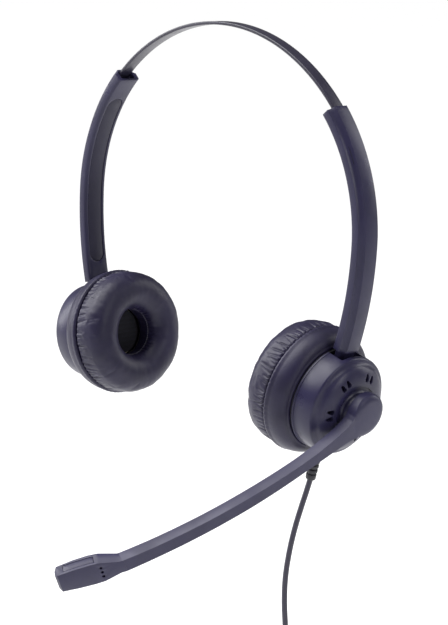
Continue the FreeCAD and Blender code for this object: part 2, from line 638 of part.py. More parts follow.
def mic_housing():
    """Hollow microphone shell with a window recess above and three ports in its face."""
    stations = ((0, MIC_ROOT), (MIC_WIDEST_AT, MIC_WIDEST), (MIC_LENGTH, MIC_NOSE))
    body = Part.makeLoft([mic_section(along, size) for along, size in stations], True, True)
    nose = []
    for edge in body.Edges:
        middle = edge.valueAt((edge.FirstParameter + edge.LastParameter) / 2)
        if abs(middle.z - MIC_LENGTH) < 0.01 and abs(middle.y) < 0.01:
            nose.append(edge)
    body = body.makeChamfer(MIC_NOSE_CHAMFER, nose)
    back = -MIC_ROOT[1]
    half = MIC_CAVITY_HALF_WIDTH
    cavity = box(back, -MIC_WALL, -half, half, MIC_CAVITY_START, MIC_LENGTH - 3)
    window = box(back, -MIC_WALL, half - 0.1, MIC_WIDEST[0], MIC_WINDOW_START, MIC_WINDOW_END)
    ports = [rod(MIC_PORT_RADIUS, Vector(-MIC_WALL - 1, y, MIC_WIDEST_AT), Vector(1, y, MIC_WIDEST_AT))
             for y in MIC_PORTS]
    shell = placed(body.cut([cavity, window] + ports), mic_frame())
    return shell.cut(placed(boom_blank(), BOOM))


def mic_window():
    """Perforated window pressed into the top of the microphone."""
    gap = 0.1
    plate = box(-MIC_ROOT[1] + gap, -MIC_WALL - gap, MIC_CAVITY_HALF_WIDTH, MIC_WINDOW_TOP,
                MIC_WINDOW_START + gap, MIC_WINDOW_END - gap)
    return placed(plate, mic_frame())


def mic_element():
    """Electret capsule inside the microphone shell."""
    radius, start, end = MIC_ELEMENT
    middle = -(MIC_ROOT[1] + MIC_WALL) / 2
    return placed(rod(radius, Vector(middle, 0, start), Vector(middle, 0, end)), mic_frame())


# ---- cord -----------------------------------------------------------------------------
def strain_relief():
    """Ribbed, tapered sleeve; its neck and flange sit in the ear cup's wall."""
    top = RELIEF_EXIT
    up = Vector(0, 0, 1)
    sleeve = Part.makeCone(RELIEF_TOP_RADIUS, RELIEF_TIP_RADIUS, RELIEF_LENGTH, top, -up)
    neck = rod(RELIEF_SEAT_RADIUS - 0.02, top, top + RELIEF_NECK_LENGTH * up)
    flange = rod(2.8, top + RELIEF_FLANGE_START * up, top + RELIEF_NECK_LENGTH * up)
    grooves = []
    for rib in range(4):
        low = top - (RELIEF_LENGTH - 3.2 - RELIEF_RIB_PITCH * rib) * up
        high = low + RELIEF_GROOVE_WIDTH * up
        grooves.append(rod(4, low, high).cut(rod(RELIEF_GROOVE_FLOOR, low, high)))
    return placed(sleeve.fuse([neck, flange]).cut(grooves), CUP)


def bent_run(points, radius, label):
    """Round tube along straight runs joined by tangent arcs as large as the runs allow."""
    edges = []
    start = points[0]
    length = 0.0
    tightest = 1e9
    for before, corner, after in zip(points, points[1:], points[2:]):
        back, ahead = (before - corner), (after - corner)
        half_turn = (pi - back.getAngle(ahead)) / 2
        setback = 0.45 * min(back.Length, ahead.Length)
        bend = setback / tan(half_turn)
        tightest = min(tightest, bend)
        entry = corner + setback * Vector(back).normalize()
        leave = corner + setback * Vector(ahead).normalize()
        inward = (Vector(back).normalize() + Vector(ahead).normalize()).normalize()
        middle = corner + inward * (hypot(setback, bend) - bend)
        edges += [Part.makeLine(start, entry), Part.Arc(entry, middle, leave).toShape()]
        length += (entry - start).Length + 2 * half_turn * bend
        start = leave
    edges.append(Part.makeLine(start, points[-1]))
    length += (points[-1] - start).Length
    path = Part.Wire(edges)
    section = Part.Wire(Part.makeCircle(radius, points[0], points[1] - points[0]))
    tube = path.makePipeShell([section], True, True)
    print(label, "length %.1f tightest bend %.1f volume ratio %.4f"
          % (length, tightest, tube.Volume / (pi * radius ** 2 * length)))
    return tube


def cord_tube():
    return bent_run(CORD_ROUTE, CORD_RADIUS, "cord")


def cord_coil():
    """Outer shape of the put-away turns: a thick ring whose plane hangs upright."""
    low = COIL_CENTRE - Vector(0, COIL_HALF_WIDTH, 0)
    high = COIL_CENTRE + Vector(0, COIL_HALF_WIDTH, 0)
    ring = rod(COIL_RADIUS, low, high).cut(rod(COIL_HOLE_RADIUS, low, high))
    return ring.makeFillet(2.0, [edge for edge in ring.Edges if len(edge.Vertexes) == 1])


def cord_tie():
    """Flat strap round the coil's turns at the bottom."""
    half = COIL_HALF_WIDTH + TIE_GAP
    low, high = -COIL_RADIUS - TIE_GAP, -COIL_HOLE_RADIUS + 0.65
    outer = box(-TIE_HALF_WIDTH, TIE_HALF_WIDTH, -half - TIE_THICKNESS, half + TIE_THICKNESS,
                low - TIE_THICKNESS, high + TIE_THICKNESS)
    inner = box(-TIE_HALF_WIDTH - 1, TIE_HALF_WIDTH + 1, -half, half, low, high)
    strap = outer.cut(inner)
    strap.translate(COIL_CENTRE)
    return strap


def cord_tail():
    return bent_run(TAIL_ROUTE, CORD_RADIUS, "tail")


def plug_frame():
    return Placement(TAIL_ROUTE[-1], Rotation(Vector(0, 0, 1), Vector(-0.06, 0.02, -1)))


def plug_body():
    """Moulded grip with a tapered sleeve, round the cord's end and the plug's shank."""
    sleeve = Part.makeCone(1.8, 2.6, PLUG_SLEEVE_LENGTH, Vector(0, 0, 0), Vector(0, 0, 1))
    grip = rod(PLUG_GRIP_RADIUS, Vector(0, 0, PLUG_SLEEVE_LENGTH), Vector(0, 0, PLUG_GRIP_END))
    grip = grip.makeFillet(1.0, [edge for edge in grip.Edges if len(edge.Vertexes) == 1])
    collar = rod(2.9, Vector(0, 0, PLUG_GRIP_END - 1), Vector(0, 0, PLUG_LENGTH))
    return placed(sleeve.fuse([grip, collar]).removeSplitter(), plug_frame())


def plug_pin():
    """Four-pole pin with its pointed tip."""
    radius, end = PLUG_PIN_RADIUS, PLUG_PIN_LENGTH
    outline = [(0, 0), (radius, 0), (radius, end - 3.2), (radius - 0.55, end - 2.5), (radius - 0.1, end - 1.6),
               (0.5, end), (0, end)]
    face = Part.Face(Part.makePolygon([Vector(x, 0, z) for x, z in outline + outline[:1]]))
    pin = face.revolve(Vector(0, 0, 0), Vector(0, 0, 1), 360)
    pin.translate(Vector(0, 0, PLUG_LENGTH))
    return placed(pin, plug_frame())


def circuit_board():
    """Small board across the lower half of the cup, where the leads are joined."""
    return placed(box(*BOARD_DEPTHS, -BOARD_HALF_WIDTH, BOARD_HALF_WIDTH, *BOARD_HEIGHTS), CUP)


# ---- write every node -------------------------------------------------------------------
def main():
    os.makedirs("parts", exist_ok=True)
    nodes = {"headband": headband()}
    pairs = {
        "band_stop": band_stop(), "arm_shell": arm_shell(), "arm_cover": arm_cover(),
        "detent_spring": detent_spring(), "swivel_post": swivel_post(), "swivel_clip": swivel_clip(),
        "swivel_block": swivel_block(), "swivel_bracket": swivel_bracket(), "baffle": baffle(),
        "baffle_screws": baffle_screws(), "speaker_frame": speaker_frame(),
        "speaker_magnet": speaker_magnet(), "speaker_diaphragm": speaker_diaphragm(),
        "cushion": cushion(), "cushion_scrim": cushion_scrim()}
    for name, shape in pairs.items():
        nodes["left_" + name] = shape
        nodes["right_" + name] = mirrored(shape)
    nodes["left_housing"] = cup_housing(True)
    nodes["right_housing"] = mirrored(cup_housing(False))
    nodes["right_hub_plug"] = mirrored(hub_plug())
    for build in (boss_ring, boom_arm, boom_cap, boom_screw, boom_washer, boom_nut, mic_housing, mic_window,
                  mic_element, strain_relief, circuit_board, cord_tube, cord_coil, cord_tie, cord_tail,
                  plug_body, plug_pin):
        nodes[build.__name__] = build()
    for name, shape in nodes.items():
        shape.exportStep("parts/" + name + ".step")
        box_ = shape.BoundBox
        print("%-28s solids %d valid %s volume %8.1f  x %.1f..%.1f y %.1f..%.1f z %.1f..%.1f" % (
            name, len(shape.Solids), shape.isValid(), shape.Volume,
            box_.XMin, box_.XMax, box_.YMin, box_.YMax, box_.ZMin, box_.ZMax))


main()
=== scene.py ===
import random
from contextlib import contextmanager
from math import asin, atan2, ceil, cos, exp, hypot, pi, radians, sin

import bmesh
import bpy
from mathutils import Matrix, Vector, noise


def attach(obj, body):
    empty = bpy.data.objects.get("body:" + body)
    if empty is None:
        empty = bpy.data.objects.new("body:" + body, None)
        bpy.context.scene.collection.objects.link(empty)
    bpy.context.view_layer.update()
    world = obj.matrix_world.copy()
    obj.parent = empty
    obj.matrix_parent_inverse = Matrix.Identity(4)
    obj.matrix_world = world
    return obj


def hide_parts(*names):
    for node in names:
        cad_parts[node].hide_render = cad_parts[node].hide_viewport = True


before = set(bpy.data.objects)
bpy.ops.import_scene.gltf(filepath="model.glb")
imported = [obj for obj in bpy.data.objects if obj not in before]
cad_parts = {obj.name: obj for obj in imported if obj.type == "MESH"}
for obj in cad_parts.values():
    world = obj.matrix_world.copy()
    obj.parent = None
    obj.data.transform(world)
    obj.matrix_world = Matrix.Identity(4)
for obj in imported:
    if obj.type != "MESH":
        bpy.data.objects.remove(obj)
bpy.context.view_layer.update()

# ---- camera ------------------------------------------------------------------------------
# A long lens in front of the wearer's left cheek, a little above the ears and slightly rolled.
VIEW_AZIMUTH = radians(44.69)
VIEW_ELEVATION = radians(12.42)
VIEW_ROLL = radians(3.19)
VIEW_TARGET = Vector((0.01253, -0.00675, 0.02173))
VIEW_DISTANCE = 0.8775
VIEW_LENS = 121.1

camera_data = bpy.data.cameras.new("camera")
camera_data.lens = VIEW_LENS
camera_data.clip_start = 0.01
camera = bpy.data.objects.new("camera", camera_data)
bpy.context.scene.collection.objects.link(camera)
turned = (Matrix.Rotation(VIEW_AZIMUTH, 4, "Z") @ Matrix.Rotation(pi / 2 - VIEW_ELEVATION, 4, "X")
          @ Matrix.Rotation(VIEW_ROLL, 4, "Z"))
viewpoint = VIEW_TARGET + turned.to_3x3() @ Vector((0, 0, VIEW_DISTANCE))
camera.matrix_world = Matrix.Translation(viewpoint) @ turned
bpy.context.scene.camera = camera


# ---- cord --------------------------------------------------------------------------------
# A thin soft-jacketed cord. It hangs from the left cup, and the rest of its length is wound
# into a neat upright coil, held by a hook-and-loop strap, with the plug hanging below it.
CORD_DIAMETER = 0.0024
CORD_EXIT = (0.06542, -0.005, -0.03751)
HANGING_ROUTE = [
    CORD_EXIT, (0.0646, -0.0056, -0.0420), (0.0634, -0.0069, -0.0490), (0.0619, -0.0084, -0.0580),
    (0.0607, -0.0097, -0.0685), (0.0600, -0.0105, -0.0800), (0.0602, -0.0103, -0.0910),
    (0.0610, -0.0095, -0.1015), (0.0617, -0.0088, -0.1095), (0.0628, -0.0070, -0.1160)]
TAIL_ROUTE = [
    (0.0634, -0.0120, -0.1360), (0.0620, -0.0114, -0.1390), (0.0618, -0.0113, -0.1420),
    (0.0613, -0.0110, -0.1465), (0.0610, -0.0109, -0.1505)]
COIL_CENTRE = Vector((0.0480, -0.0085, -0.1275))
COIL_OUTER = 0.0180
COIL_PITCH = 0.00245
COIL_LAYER_TURNS = 2.85
COIL_LAYER_DEPTHS = (0.0036, 0.0012, -0.0012, -0.0036)
COIL_POINTS_PER_TURN = 20


class Link:
    """The value or colour that leaves one node of a finish, with sums written as Python."""

    def __init__(self, finish, socket):
        self.finish = finish
        self.socket = socket

    def sum(self, operation, first, second):
        return self.finish.node("ShaderNodeMath", {"operation": operation}, {0: first, 1: second})

    def __add__(self, other):
        return self.sum("ADD", self, other)

    def __radd__(self, other):
        return self.sum("ADD", other, self)

    def __sub__(self, other):
        return self.sum("SUBTRACT", self, other)

    def __rsub__(self, other):
        return self.sum("SUBTRACT", other, self)

    def __mul__(self, other):
        return self.sum("MULTIPLY", self, other)

    def __rmul__(self, other):
        return self.sum("MULTIPLY", other, self)


class Finish:
    """A material in the making, on one Principled shader."""

    def __init__(self, name, metallic=0.0, specular=0.5, sheen=0.0):
        self.material = bpy.data.materials.new(name)
        self.material.use_nodes = True
        self.tree = self.material.node_tree
        self.shader = self.tree.nodes["Principled BSDF"]
        self.set(Metallic=metallic)
        self.shader.inputs["Specular IOR Level"].default_value = specular
        self.shader.inputs["Sheen Weight"].default_value = sheen
        self.place = self.node("ShaderNodeTexCoord", {}, {}, "Object")

    def node(self, kind, settings, values, output=0):
        made = self.tree.nodes.new(kind)
        for name, value in settings.items():
            setattr(made, name, value)
        for name, value in values.items():
            self.feed(made.inputs[name], value)
        return Link(self, made.outputs[output])

    def feed(self, socket, value):
        if isinstance(value, Link):
            self.tree.links.new(value.socket, socket)
        else:
            socket.default_value = value

    def set(self, **values):
        for name, value in values.items():
            self.feed(self.shader.inputs[name.replace("_", " ")], value)

    def noise(self, scale, detail=2.0):
        return self.node("ShaderNodeTexNoise", {},
                         {"Vector": self.place, "Scale": scale, "Detail": detail}, "Fac")

    def mix(self, amount, first, second):
        return self.node("ShaderNodeMix", {"data_type": "RGBA"}, {0: amount, 6: first, 7: second}, 2)

    def between(self, value, low, high):
        """0 below low, 1 above high and smooth between."""
        return self.node("ShaderNodeMapRange", {"interpolation_type": "SMOOTHSTEP"},
                         {"Value": value, "From Min": low, "From Max": high}, "Result")

    def emboss(self, height, depth):
        """Bumps whose height of 1 stands for depth metres."""
        bump = self.node("ShaderNodeBump", {},
                         {"Height": height, "Distance": depth, "Strength": 1.0}, "Normal")
        self.set(Normal=bump)


def tint(red, green, blue):
    """Linear colour from display values of 0 to 255."""
    return tuple(pow(max(value, 0) / 255, 2.2) for value in (red, green, blue)) + (1.0,)


def darker(colour, share):
    """The colour with its light times share; above 1 it is lighter."""
    return tuple(share * value for value in colour[:3]) + (1.0,)


def moulded(name, colour, roughness, specular=0.5, grain=0.000012):
    """Spark-textured satin plastic: cloudy pigment, handling marks and a very fine grain."""
    finish = Finish(name, specular=specular)
    cloud = finish.between(finish.noise(55, 3), 0.35, 0.65)
    specks = finish.between(finish.noise(2600, 1), 0.62, 0.75)
    edge = finish.node("ShaderNodeNewGeometry", {}, {}, "Pointiness")
    worn = finish.between(edge, 0.53, 0.62)
    body = finish.mix(cloud, colour, darker(colour, 1.16))
    body = finish.mix(specks * 0.25, body, darker(colour, 1.7))
    finish.set(Base_Color=finish.mix(worn * 0.25, body, darker(colour, 1.8)))
    smears = finish.between(finish.noise(140, 4), 0.42, 0.68)
    finish.set(Roughness=roughness + smears * 0.07 - worn * 0.08)
    finish.emboss(finish.noise(4200, 2), grain)
    return finish.material


def rubbery(name, colour, roughness):
    """Soft jacket: smooth, with faint rings of drag and a little dust."""
    finish = Finish(name, specular=0.45)
    dust = finish.between(finish.noise(700, 3), 0.5, 0.72)
    finish.set(Base_Color=finish.mix(dust * 0.4, colour, darker(colour, 1.5)))
    finish.set(Roughness=roughness + dust * 0.1)
    finish.emboss(finish.noise(1500, 2), 0.00002)
    return finish.material


def coil_turns():
    """Points of the wound length: in, out, in and out again through four layers."""
    points = []
    angle = radians(20)
    radius = COIL_OUTER
    step = 2 * pi / COIL_POINTS_PER_TURN
    layer_steps = round(COIL_LAYER_TURNS * COIL_POINTS_PER_TURN)
    for layer, depth in enumerate(COIL_LAYER_DEPTHS):
        direction = -1 if layer % 2 == 0 else 1
        for _ in range(layer_steps):
            points.append(COIL_CENTRE + Vector((radius * cos(angle), depth, radius * sin(angle))))
            angle -= step
            radius += direction * COIL_PITCH / COIL_POINTS_PER_TURN
        if layer + 1 < len(COIL_LAYER_DEPTHS):
            following = COIL_LAYER_DEPTHS[layer + 1]
            for share in (0.25, 0.5, 0.75):
                eased = depth + (following - depth) * share
                points.append(COIL_CENTRE + Vector((radius * cos(angle), eased, radius * sin(angle))))
                angle -= step
    return points


def smooth_line(name, points, thickness):
    """One open spline of round section through a given route."""
    line = bpy.data.curves.new(name, "CURVE")
    line.dimensions = "3D"
    line.resolution_u = 6
    line.bevel_depth = thickness / 2
    line.bevel_resolution = 5
    line.use_fill_caps = True
    spline = line.splines.new("NURBS")
    spline.points.add(len(points) - 1)
    for point, place in zip(spline.points, points):
        point.co = (*place, 1.0)
    spline.order_u = 3
    spline.use_endpoint_u = True
    made = bpy.data.objects.new(name, line)
    bpy.context.scene.collection.objects.link(made)
    return made


cord_jacket = rubbery("cord_jacket", tint(48, 46, 60), 0.46)
cord = smooth_line("cord", HANGING_ROUTE + coil_turns() + TAIL_ROUTE, CORD_DIAMETER)
cord.data.materials.append(cord_jacket)
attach(cord, "left_cup")
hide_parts("cord_tube", "cord_coil", "cord_tail")


# ---- headband ----------------------------------------------------------------------------
# One narrow strip of spring steel with rolled edges and a dark satin coat. It is cut straight
# and bent to the crown arc and the two tighter arcs that the arms slide on.
CROWN_RADIUS = 0.0856
CROWN_ANGLE = radians(42)
SLIDE_RADIUS = 0.0784
ARM_RADIUS = 0.149
CROWN_CENTRE = Vector((0, 0, 0.1404 - CROWN_RADIUS))
SLIDE_CENTRE = CROWN_CENTRE + (CROWN_RADIUS - SLIDE_RADIUS) * Vector((sin(CROWN_ANGLE), 0, cos(CROWN_ANGLE)))
ARM_CENTRE = SLIDE_CENTRE + Vector((SLIDE_RADIUS - ARM_RADIUS, 0, 0))
CROWN_RUN = CROWN_RADIUS * CROWN_ANGLE
SLIDE_RUN = CROWN_RUN + SLIDE_RADIUS * (pi / 2 - CROWN_ANGLE)
BAND_WIDTH = 0.0062
BAND_THICKNESS = 0.0014
BAND_ROUNDING = 0.00045
BAND_CUTS = 0.0018
BAND_END = 64.5


def run_at(degrees):
    """Length along the centreline from the top of the head to an angle round from it."""
    turn = radians(degrees)
    if turn < CROWN_ANGLE:
        return CROWN_RADIUS * turn
    if turn < pi / 2:
        return CROWN_RUN + SLIDE_RADIUS * (turn - CROWN_ANGLE)
    return SLIDE_RUN + ARM_RADIUS * (turn - pi / 2)


def onto_spine(point):
    """Where a point of a straight blank (run, width, height) goes when it is bent."""
    run = abs(point.x)
    if run < CROWN_RUN:
        centre, radius, turn = CROWN_CENTRE, CROWN_RADIUS, run / CROWN_RADIUS
    elif run < SLIDE_RUN:
        centre, radius, turn = SLIDE_CENTRE, SLIDE_RADIUS, CROWN_ANGLE + (run - CROWN_RUN) / SLIDE_RADIUS
    else:
        centre, radius, turn = ARM_CENTRE, ARM_RADIUS, pi / 2 + (run - SLIDE_RUN) / ARM_RADIUS
    place = centre + (radius + point.z) * Vector((sin(turn), 0, cos(turn)))
    return Vector((place.x if point.x >= 0 else -place.x, point.y, place.z))


def new_piece(name, primitive, **where):
    """Adds a primitive with nothing else selected, and settles its size and place in its mesh."""
    bpy.ops.object.select_all(action="DESELECT")
    primitive(**where)
    piece = bpy.context.object
    piece.name = name
    bpy.ops.object.transform_apply(location=True, rotation=True, scale=True)
    return piece


def block(name, x, y, z):
    """A cuboid blank between two limits on each axis."""
    middle = [(low + high) / 2 for low, high in (x, y, z)]
    size = [high - low for low, high in (x, y, z)]
    return new_piece(name, bpy.ops.mesh.primitive_cube_add, size=1, location=middle, scale=size)


@contextmanager
def shaping(piece):
    """Edit mode on one piece."""
    bpy.ops.object.select_all(action="DESELECT")
    piece.select_set(True)
    bpy.context.view_layer.objects.active = piece
    bpy.ops.object.mode_set(mode="EDIT")
    yield piece
    bpy.ops.object.mode_set(mode="OBJECT")


def pick(piece, kind, wanted):
    """Selects the corners, edges or faces whose middle and direction pass the test."""
    mesh = bmesh.from_edit_mesh(piece.data)
    bpy.context.tool_settings.mesh_select_mode = [kind == name for name in ("VERT", "EDGE", "FACE")]
    for group in (mesh.verts, mesh.edges, mesh.faces):
        for element in group:
            element.select_set(False)
    mesh.normal_update()
    if kind == "VERT":
        found = [corner for corner in mesh.verts if wanted(corner.co)]
    elif kind == "EDGE":
        found = [edge for edge in mesh.edges
                 if wanted((edge.verts[0].co + edge.verts[1].co) / 2, edge.verts[1].co - edge.verts[0].co)]
    else:
        found = [face for face in mesh.faces if wanted(face.calc_center_median(), face.normal)]
    for element in found:
        element.select_set(True)
    mesh.select_flush_mode()
    bmesh.update_edit_mesh(piece.data)


def work(piece, kind, **settings):
    """Adds a modifier, sets it and applies it."""
    bpy.ops.object.select_all(action="DESELECT")
    piece.select_set(True)
    bpy.context.view_layer.objects.active = piece
    modifier = piece.modifiers.new(kind.lower(), kind)
    for name, value in settings.items():
        setattr(modifier, name, value)
    bpy.ops.object.modifier_apply(modifier=modifier.name)


def carve(piece, *cutters):
    """Cuts each cutter out of a piece and throws the cutter away."""
    for cutter in cutters:
        work(piece, "BOOLEAN", operation="DIFFERENCE", solver="EXACT", object=cutter)
        bpy.data.objects.remove(cutter)


def ease_edges(piece, width, segments=3, angle=30):
    work(piece, "BEVEL", width=width, segments=segments, limit_method="ANGLE", angle_limit=radians(angle))


def slice_along(piece, start, end, step):
    """Cross cuts along X, close enough for the blank to be bent smoothly."""
    cuts = ceil((end - start) / step)
    with shaping(piece):
        for cut in range(1, cuts):
            bpy.ops.mesh.select_all(action="SELECT")
            bpy.ops.mesh.bisect(plane_co=(start + (end - start) * cut / cuts, 0, 0), plane_no=(1, 0, 0))


def reshape(piece, rule):
    for corner in piece.data.vertices:
        corner.co = rule(corner.co)
    piece.data.update()


def smooth(piece, angle=32):
    bpy.ops.object.select_all(action="DESELECT")
    piece.select_set(True)
    bpy.context.view_layer.objects.active = piece
    bpy.ops.object.shade_smooth_by_angle(angle=radians(angle))


def face_outwards(piece):
    with shaping(piece):
        bpy.ops.mesh.select_all(action="SELECT")
        bpy.ops.mesh.remove_doubles(threshold=0.000002)
        bpy.ops.mesh.normals_make_consistent(inside=False)


def handed(piece, name):
    """The same piece for the wearer's other side."""
    twin = piece.copy()
    twin.data = piece.data.copy()
    twin.name = name
    bpy.context.scene.collection.objects.link(twin)
    twin.data.transform(Matrix.Scale(-1, 4, (1, 0, 0)))
    twin.data.flip_normals()
    return twin


def put_on(piece, body, material, slot, *nodes):
    """Finish, body and CAD nodes of a finished piece."""
    piece.data.materials.clear()
    piece.data.materials.append(material)
    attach(piece, body)
    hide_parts(*nodes)


band_run = run_at(BAND_END)
band = block("headband_strip", (-band_run, band_run), (-BAND_WIDTH / 2, BAND_WIDTH / 2),
             (-BAND_THICKNESS / 2, BAND_THICKNESS / 2))
ease_edges(band, BAND_ROUNDING, segments=4)
slice_along(band, -band_run, band_run, BAND_CUTS)
reshape(band, onto_spine)
smooth(band)
band_finish = moulded("band_finish", tint(40, 38, 52), 0.3, grain=0.000004)
put_on(band, "headband", band_finish, "band_finish", "headband")


# ---- arms --------------------------------------------------------------------------------
# Two moulded nylon arms with a coved front and back edge, a hollow mouth that swallows the
# band, and a stadium-shaped inner cover that is snapped in flush. Each ends in a flat neck.
ARM_WIDTH = 0.0116
ARM_OUTSIDE = 0.00185
ARM_INSIDE = 0.0042
COVE = 0.0023
COVE_CURVE = 0.13
INNER_BEVEL = 0.0011
MOUTH = run_at(47.5)
ARM_END = run_at(106.42)
NECK_LENGTH = 0.0044
NECK_WIDTH = 0.0094
NECK_THICKNESS = 0.0040
COVER_START = run_at(56.5)
COVER_END = run_at(103)
COVER_WIDTH = 0.0076
COVER_DEPTH = 0.0012
COVER_SUNK = 0.0001
COVER_EDGE = 0.00022
SEAM_GAP = 0.0002
HOLLOW_DEPTH = 0.0024
HOLLOW_WIDTH = 0.0078
HOLLOW_HEIGHTS = (-0.0032, 0.0008)
HOLLOW_ROUNDING = 0.0009
THROAT_DEPTH = 0.012
THROAT_WIDTH = 0.0066
THROAT_HEIGHT = 0.0018
OVERCUT = 0.001
ARM_EDGE = 0.0003
ARM_CUTS = 0.0016


def stadium(name, start, end, width, low, high):
    """A round-ended plate along X: a short post whose far half is drawn out."""
    radius = width / 2
    plate = new_piece(name, bpy.ops.mesh.primitive_cylinder_add, vertices=40, radius=radius, depth=high - low,
                      location=(start + radius, 0, (low + high) / 2))
    with shaping(plate):
        pick(plate, "VERT", lambda at: at.x > start + radius + 0.00001)
        bpy.ops.transform.translate(value=(end - start - width, 0, 0))
    return plate


arm = block("left_arm", (MOUTH, ARM_END), (-ARM_WIDTH / 2, ARM_WIDTH / 2), (-ARM_INSIDE, ARM_OUTSIDE))
with shaping(arm):
    pick(arm, "EDGE", lambda at, run: at.z > ARM_OUTSIDE - 0.0001 and abs(run.x) > 0.01)
    bpy.ops.mesh.bevel(offset=COVE, segments=8, profile=COVE_CURVE, affect="EDGES")
    pick(arm, "EDGE", lambda at, run: at.z < 0.0001 - ARM_INSIDE and abs(run.x) > 0.01)
    bpy.ops.mesh.bevel(offset=INNER_BEVEL, segments=4, affect="EDGES")
    pick(arm, "FACE", lambda at, normal: normal.x > 0.9)
    bpy.ops.mesh.extrude_region_move(TRANSFORM_OT_translate={"value": (0, 0, 0)})
    bpy.ops.transform.resize(value=(1, NECK_WIDTH / ARM_WIDTH, NECK_THICKNESS / (ARM_INSIDE + ARM_OUTSIDE)),
                             center_override=(ARM_END, 0, (ARM_OUTSIDE - ARM_INSIDE) / 2))
    bpy.ops.mesh.extrude_region_move(TRANSFORM_OT_translate={"value": (NECK_LENGTH, 0, 0)})
hollow = block("hollow", (MOUTH - OVERCUT, MOUTH + HOLLOW_DEPTH), (-HOLLOW_WIDTH / 2, HOLLOW_WIDTH / 2),
               HOLLOW_HEIGHTS)
ease_edges(hollow, HOLLOW_ROUNDING)
throat = block("throat", (MOUTH - OVERCUT, MOUTH + THROAT_DEPTH), (-THROAT_WIDTH / 2, THROAT_WIDTH / 2),
               (-THROAT_HEIGHT / 2, THROAT_HEIGHT / 2))
recess = stadium("recess", COVER_START - SEAM_GAP, COVER_END + SEAM_GAP, COVER_WIDTH + 2 * SEAM_GAP,
                 -ARM_INSIDE - OVERCUT, -ARM_INSIDE + COVER_DEPTH)
carve(arm, hollow, throat, recess)
ease_edges(arm, ARM_EDGE, segments=3)
slice_along(arm, MOUTH, ARM_END, ARM_CUTS)
reshape(arm, onto_spine)
smooth(arm)
right_arm = handed(arm, "right_arm")

cover = stadium("left_cover", COVER_START, COVER_END, COVER_WIDTH, -ARM_INSIDE + COVER_SUNK,
                -ARM_INSIDE + COVER_DEPTH)
ease_edges(cover, COVER_EDGE, segments=2)
slice_along(cover, COVER_START, COVER_END, ARM_CUTS)
reshape(cover, onto_spine)
smooth(cover)
right_cover = handed(cover, "right_cover")
shell_plastic = moulded("shell_plastic", tint(40, 38, 60), 0.33, specular=0.3)
cover_plastic = moulded("cover_plastic", tint(35, 33, 50), 0.4, specular=0.25)
for side, shell, lid in (("left", arm, cover), ("right", right_arm, right_cover)):
    shell.name = side + "_arm_moulding"
    lid.name = side + "_inner_cover"
    put_on(shell, side + "_arm", shell_plastic, "shell_plastic", side + "_arm_shell")
    put_on(lid, side + "_arm", cover_plastic, "cover_plastic", side + "_arm_cover")


# ---- ear cup housings --------------------------------------------------------------------
# Round moulded back shells: a plain drum, a coved shoulder and a domed ring round a
# sunk hub. The boom side has vents round its dome; the other hub is closed by a plain disc.
CUP_X = 0.0502
CUP_TILT = radians(10)
CUP = Matrix.Translation((CUP_X, 0, 0)) @ Matrix.Rotation(CUP_TILT, 4, "Y")
HUB_RADIUS = 0.0105
DOME_TOP = 0.0330
HUB_FLOOR = 0.0322
SHELL_WALL = 0.0018
VENT_PAIRS = 6
VENT_START = radians(-22.5)
VENT_STEP = radians(57)
VENT_HALF_GAP = radians(6.2)
VENT_RADIUS = 0.00105
VENT_DEPTH = 0.0080
VENT_MIDDLE = 0.0320
VENT_HEAD = 0.0134
VENT_TAIL = 0.0150
VENT_TAPER = 0.6
NOTCH_DEPTHS = (0.0169, 0.0261)
NOTCH_WIDTH = 0.0124
NOTCH_RADII = (0.015, 0.026)
NOTCH_ROUNDING = 0.0008
SHELL_EDGE = 0.00018
DISC_EDGE = 0.0002


def turned_piece(name, outline, closed=True, sides=144):
    """(depth, radius) points turned about X, drawn out ring by ring; an open outline has flat ends."""
    depth, radius = outline[0]
    piece = new_piece(name, bpy.ops.mesh.primitive_circle_add, vertices=sides, radius=radius,
                      location=(depth, 0, 0), rotation=(0, pi / 2, 0))
    bpy.context.tool_settings.mesh_select_mode = [False, True, False]
    with shaping(piece):
        bpy.ops.mesh.select_all(action="SELECT")
        if not closed:
            bpy.ops.mesh.edge_face_add()
        for next_depth, next_radius in outline[1:] + (outline[:1] if closed else []):
            bpy.ops.mesh.extrude_region_move(TRANSFORM_OT_translate={"value": (next_depth - depth, 0, 0)})
            scale = next_radius / radius
            bpy.ops.transform.resize(value=(1, scale, scale), center_override=(next_depth, 0, 0))
            depth, radius = next_depth, next_radius
    face_outwards(piece)
    return piece


drum_outline = [
    (HUB_FLOOR - SHELL_WALL, 0.0010), (HUB_FLOOR - SHELL_WALL, 0.0095), (0.0290, 0.0155), (0.0265, 0.0186),
    (0.0179, 0.0197), (0.0179, 0.0213), (0.0181, 0.0215), (0.0189, 0.02146), (0.0190, 0.0212),
    (0.0192, 0.0212), (0.0193, 0.02143), (0.0274, 0.02076), (0.0279, 0.02058), (0.0282, 0.0202),
    (0.0284, 0.0196), (0.0287, 0.0190), (0.0291, 0.0185), (0.0296, 0.0181), (0.0302, 0.0178),
    (0.0307, 0.0173), (0.0313, 0.0164), (0.0319, 0.0152), (0.0324, 0.0138), (0.0328, 0.0122),
    (DOME_TOP, HUB_RADIUS), (HUB_FLOOR, HUB_RADIUS - 0.0001), (HUB_FLOOR, 0.0010)]
housing = turned_piece("left_housing_shell", drum_outline, closed=False)
notch = block("notch", NOTCH_DEPTHS, (-NOTCH_WIDTH / 2, NOTCH_WIDTH / 2), NOTCH_RADII)
ease_edges(notch, NOTCH_ROUNDING)
carve(housing, notch)
plain_housing = housing.copy()
plain_housing.data = housing.data.copy()
bpy.context.scene.collection.objects.link(plain_housing)
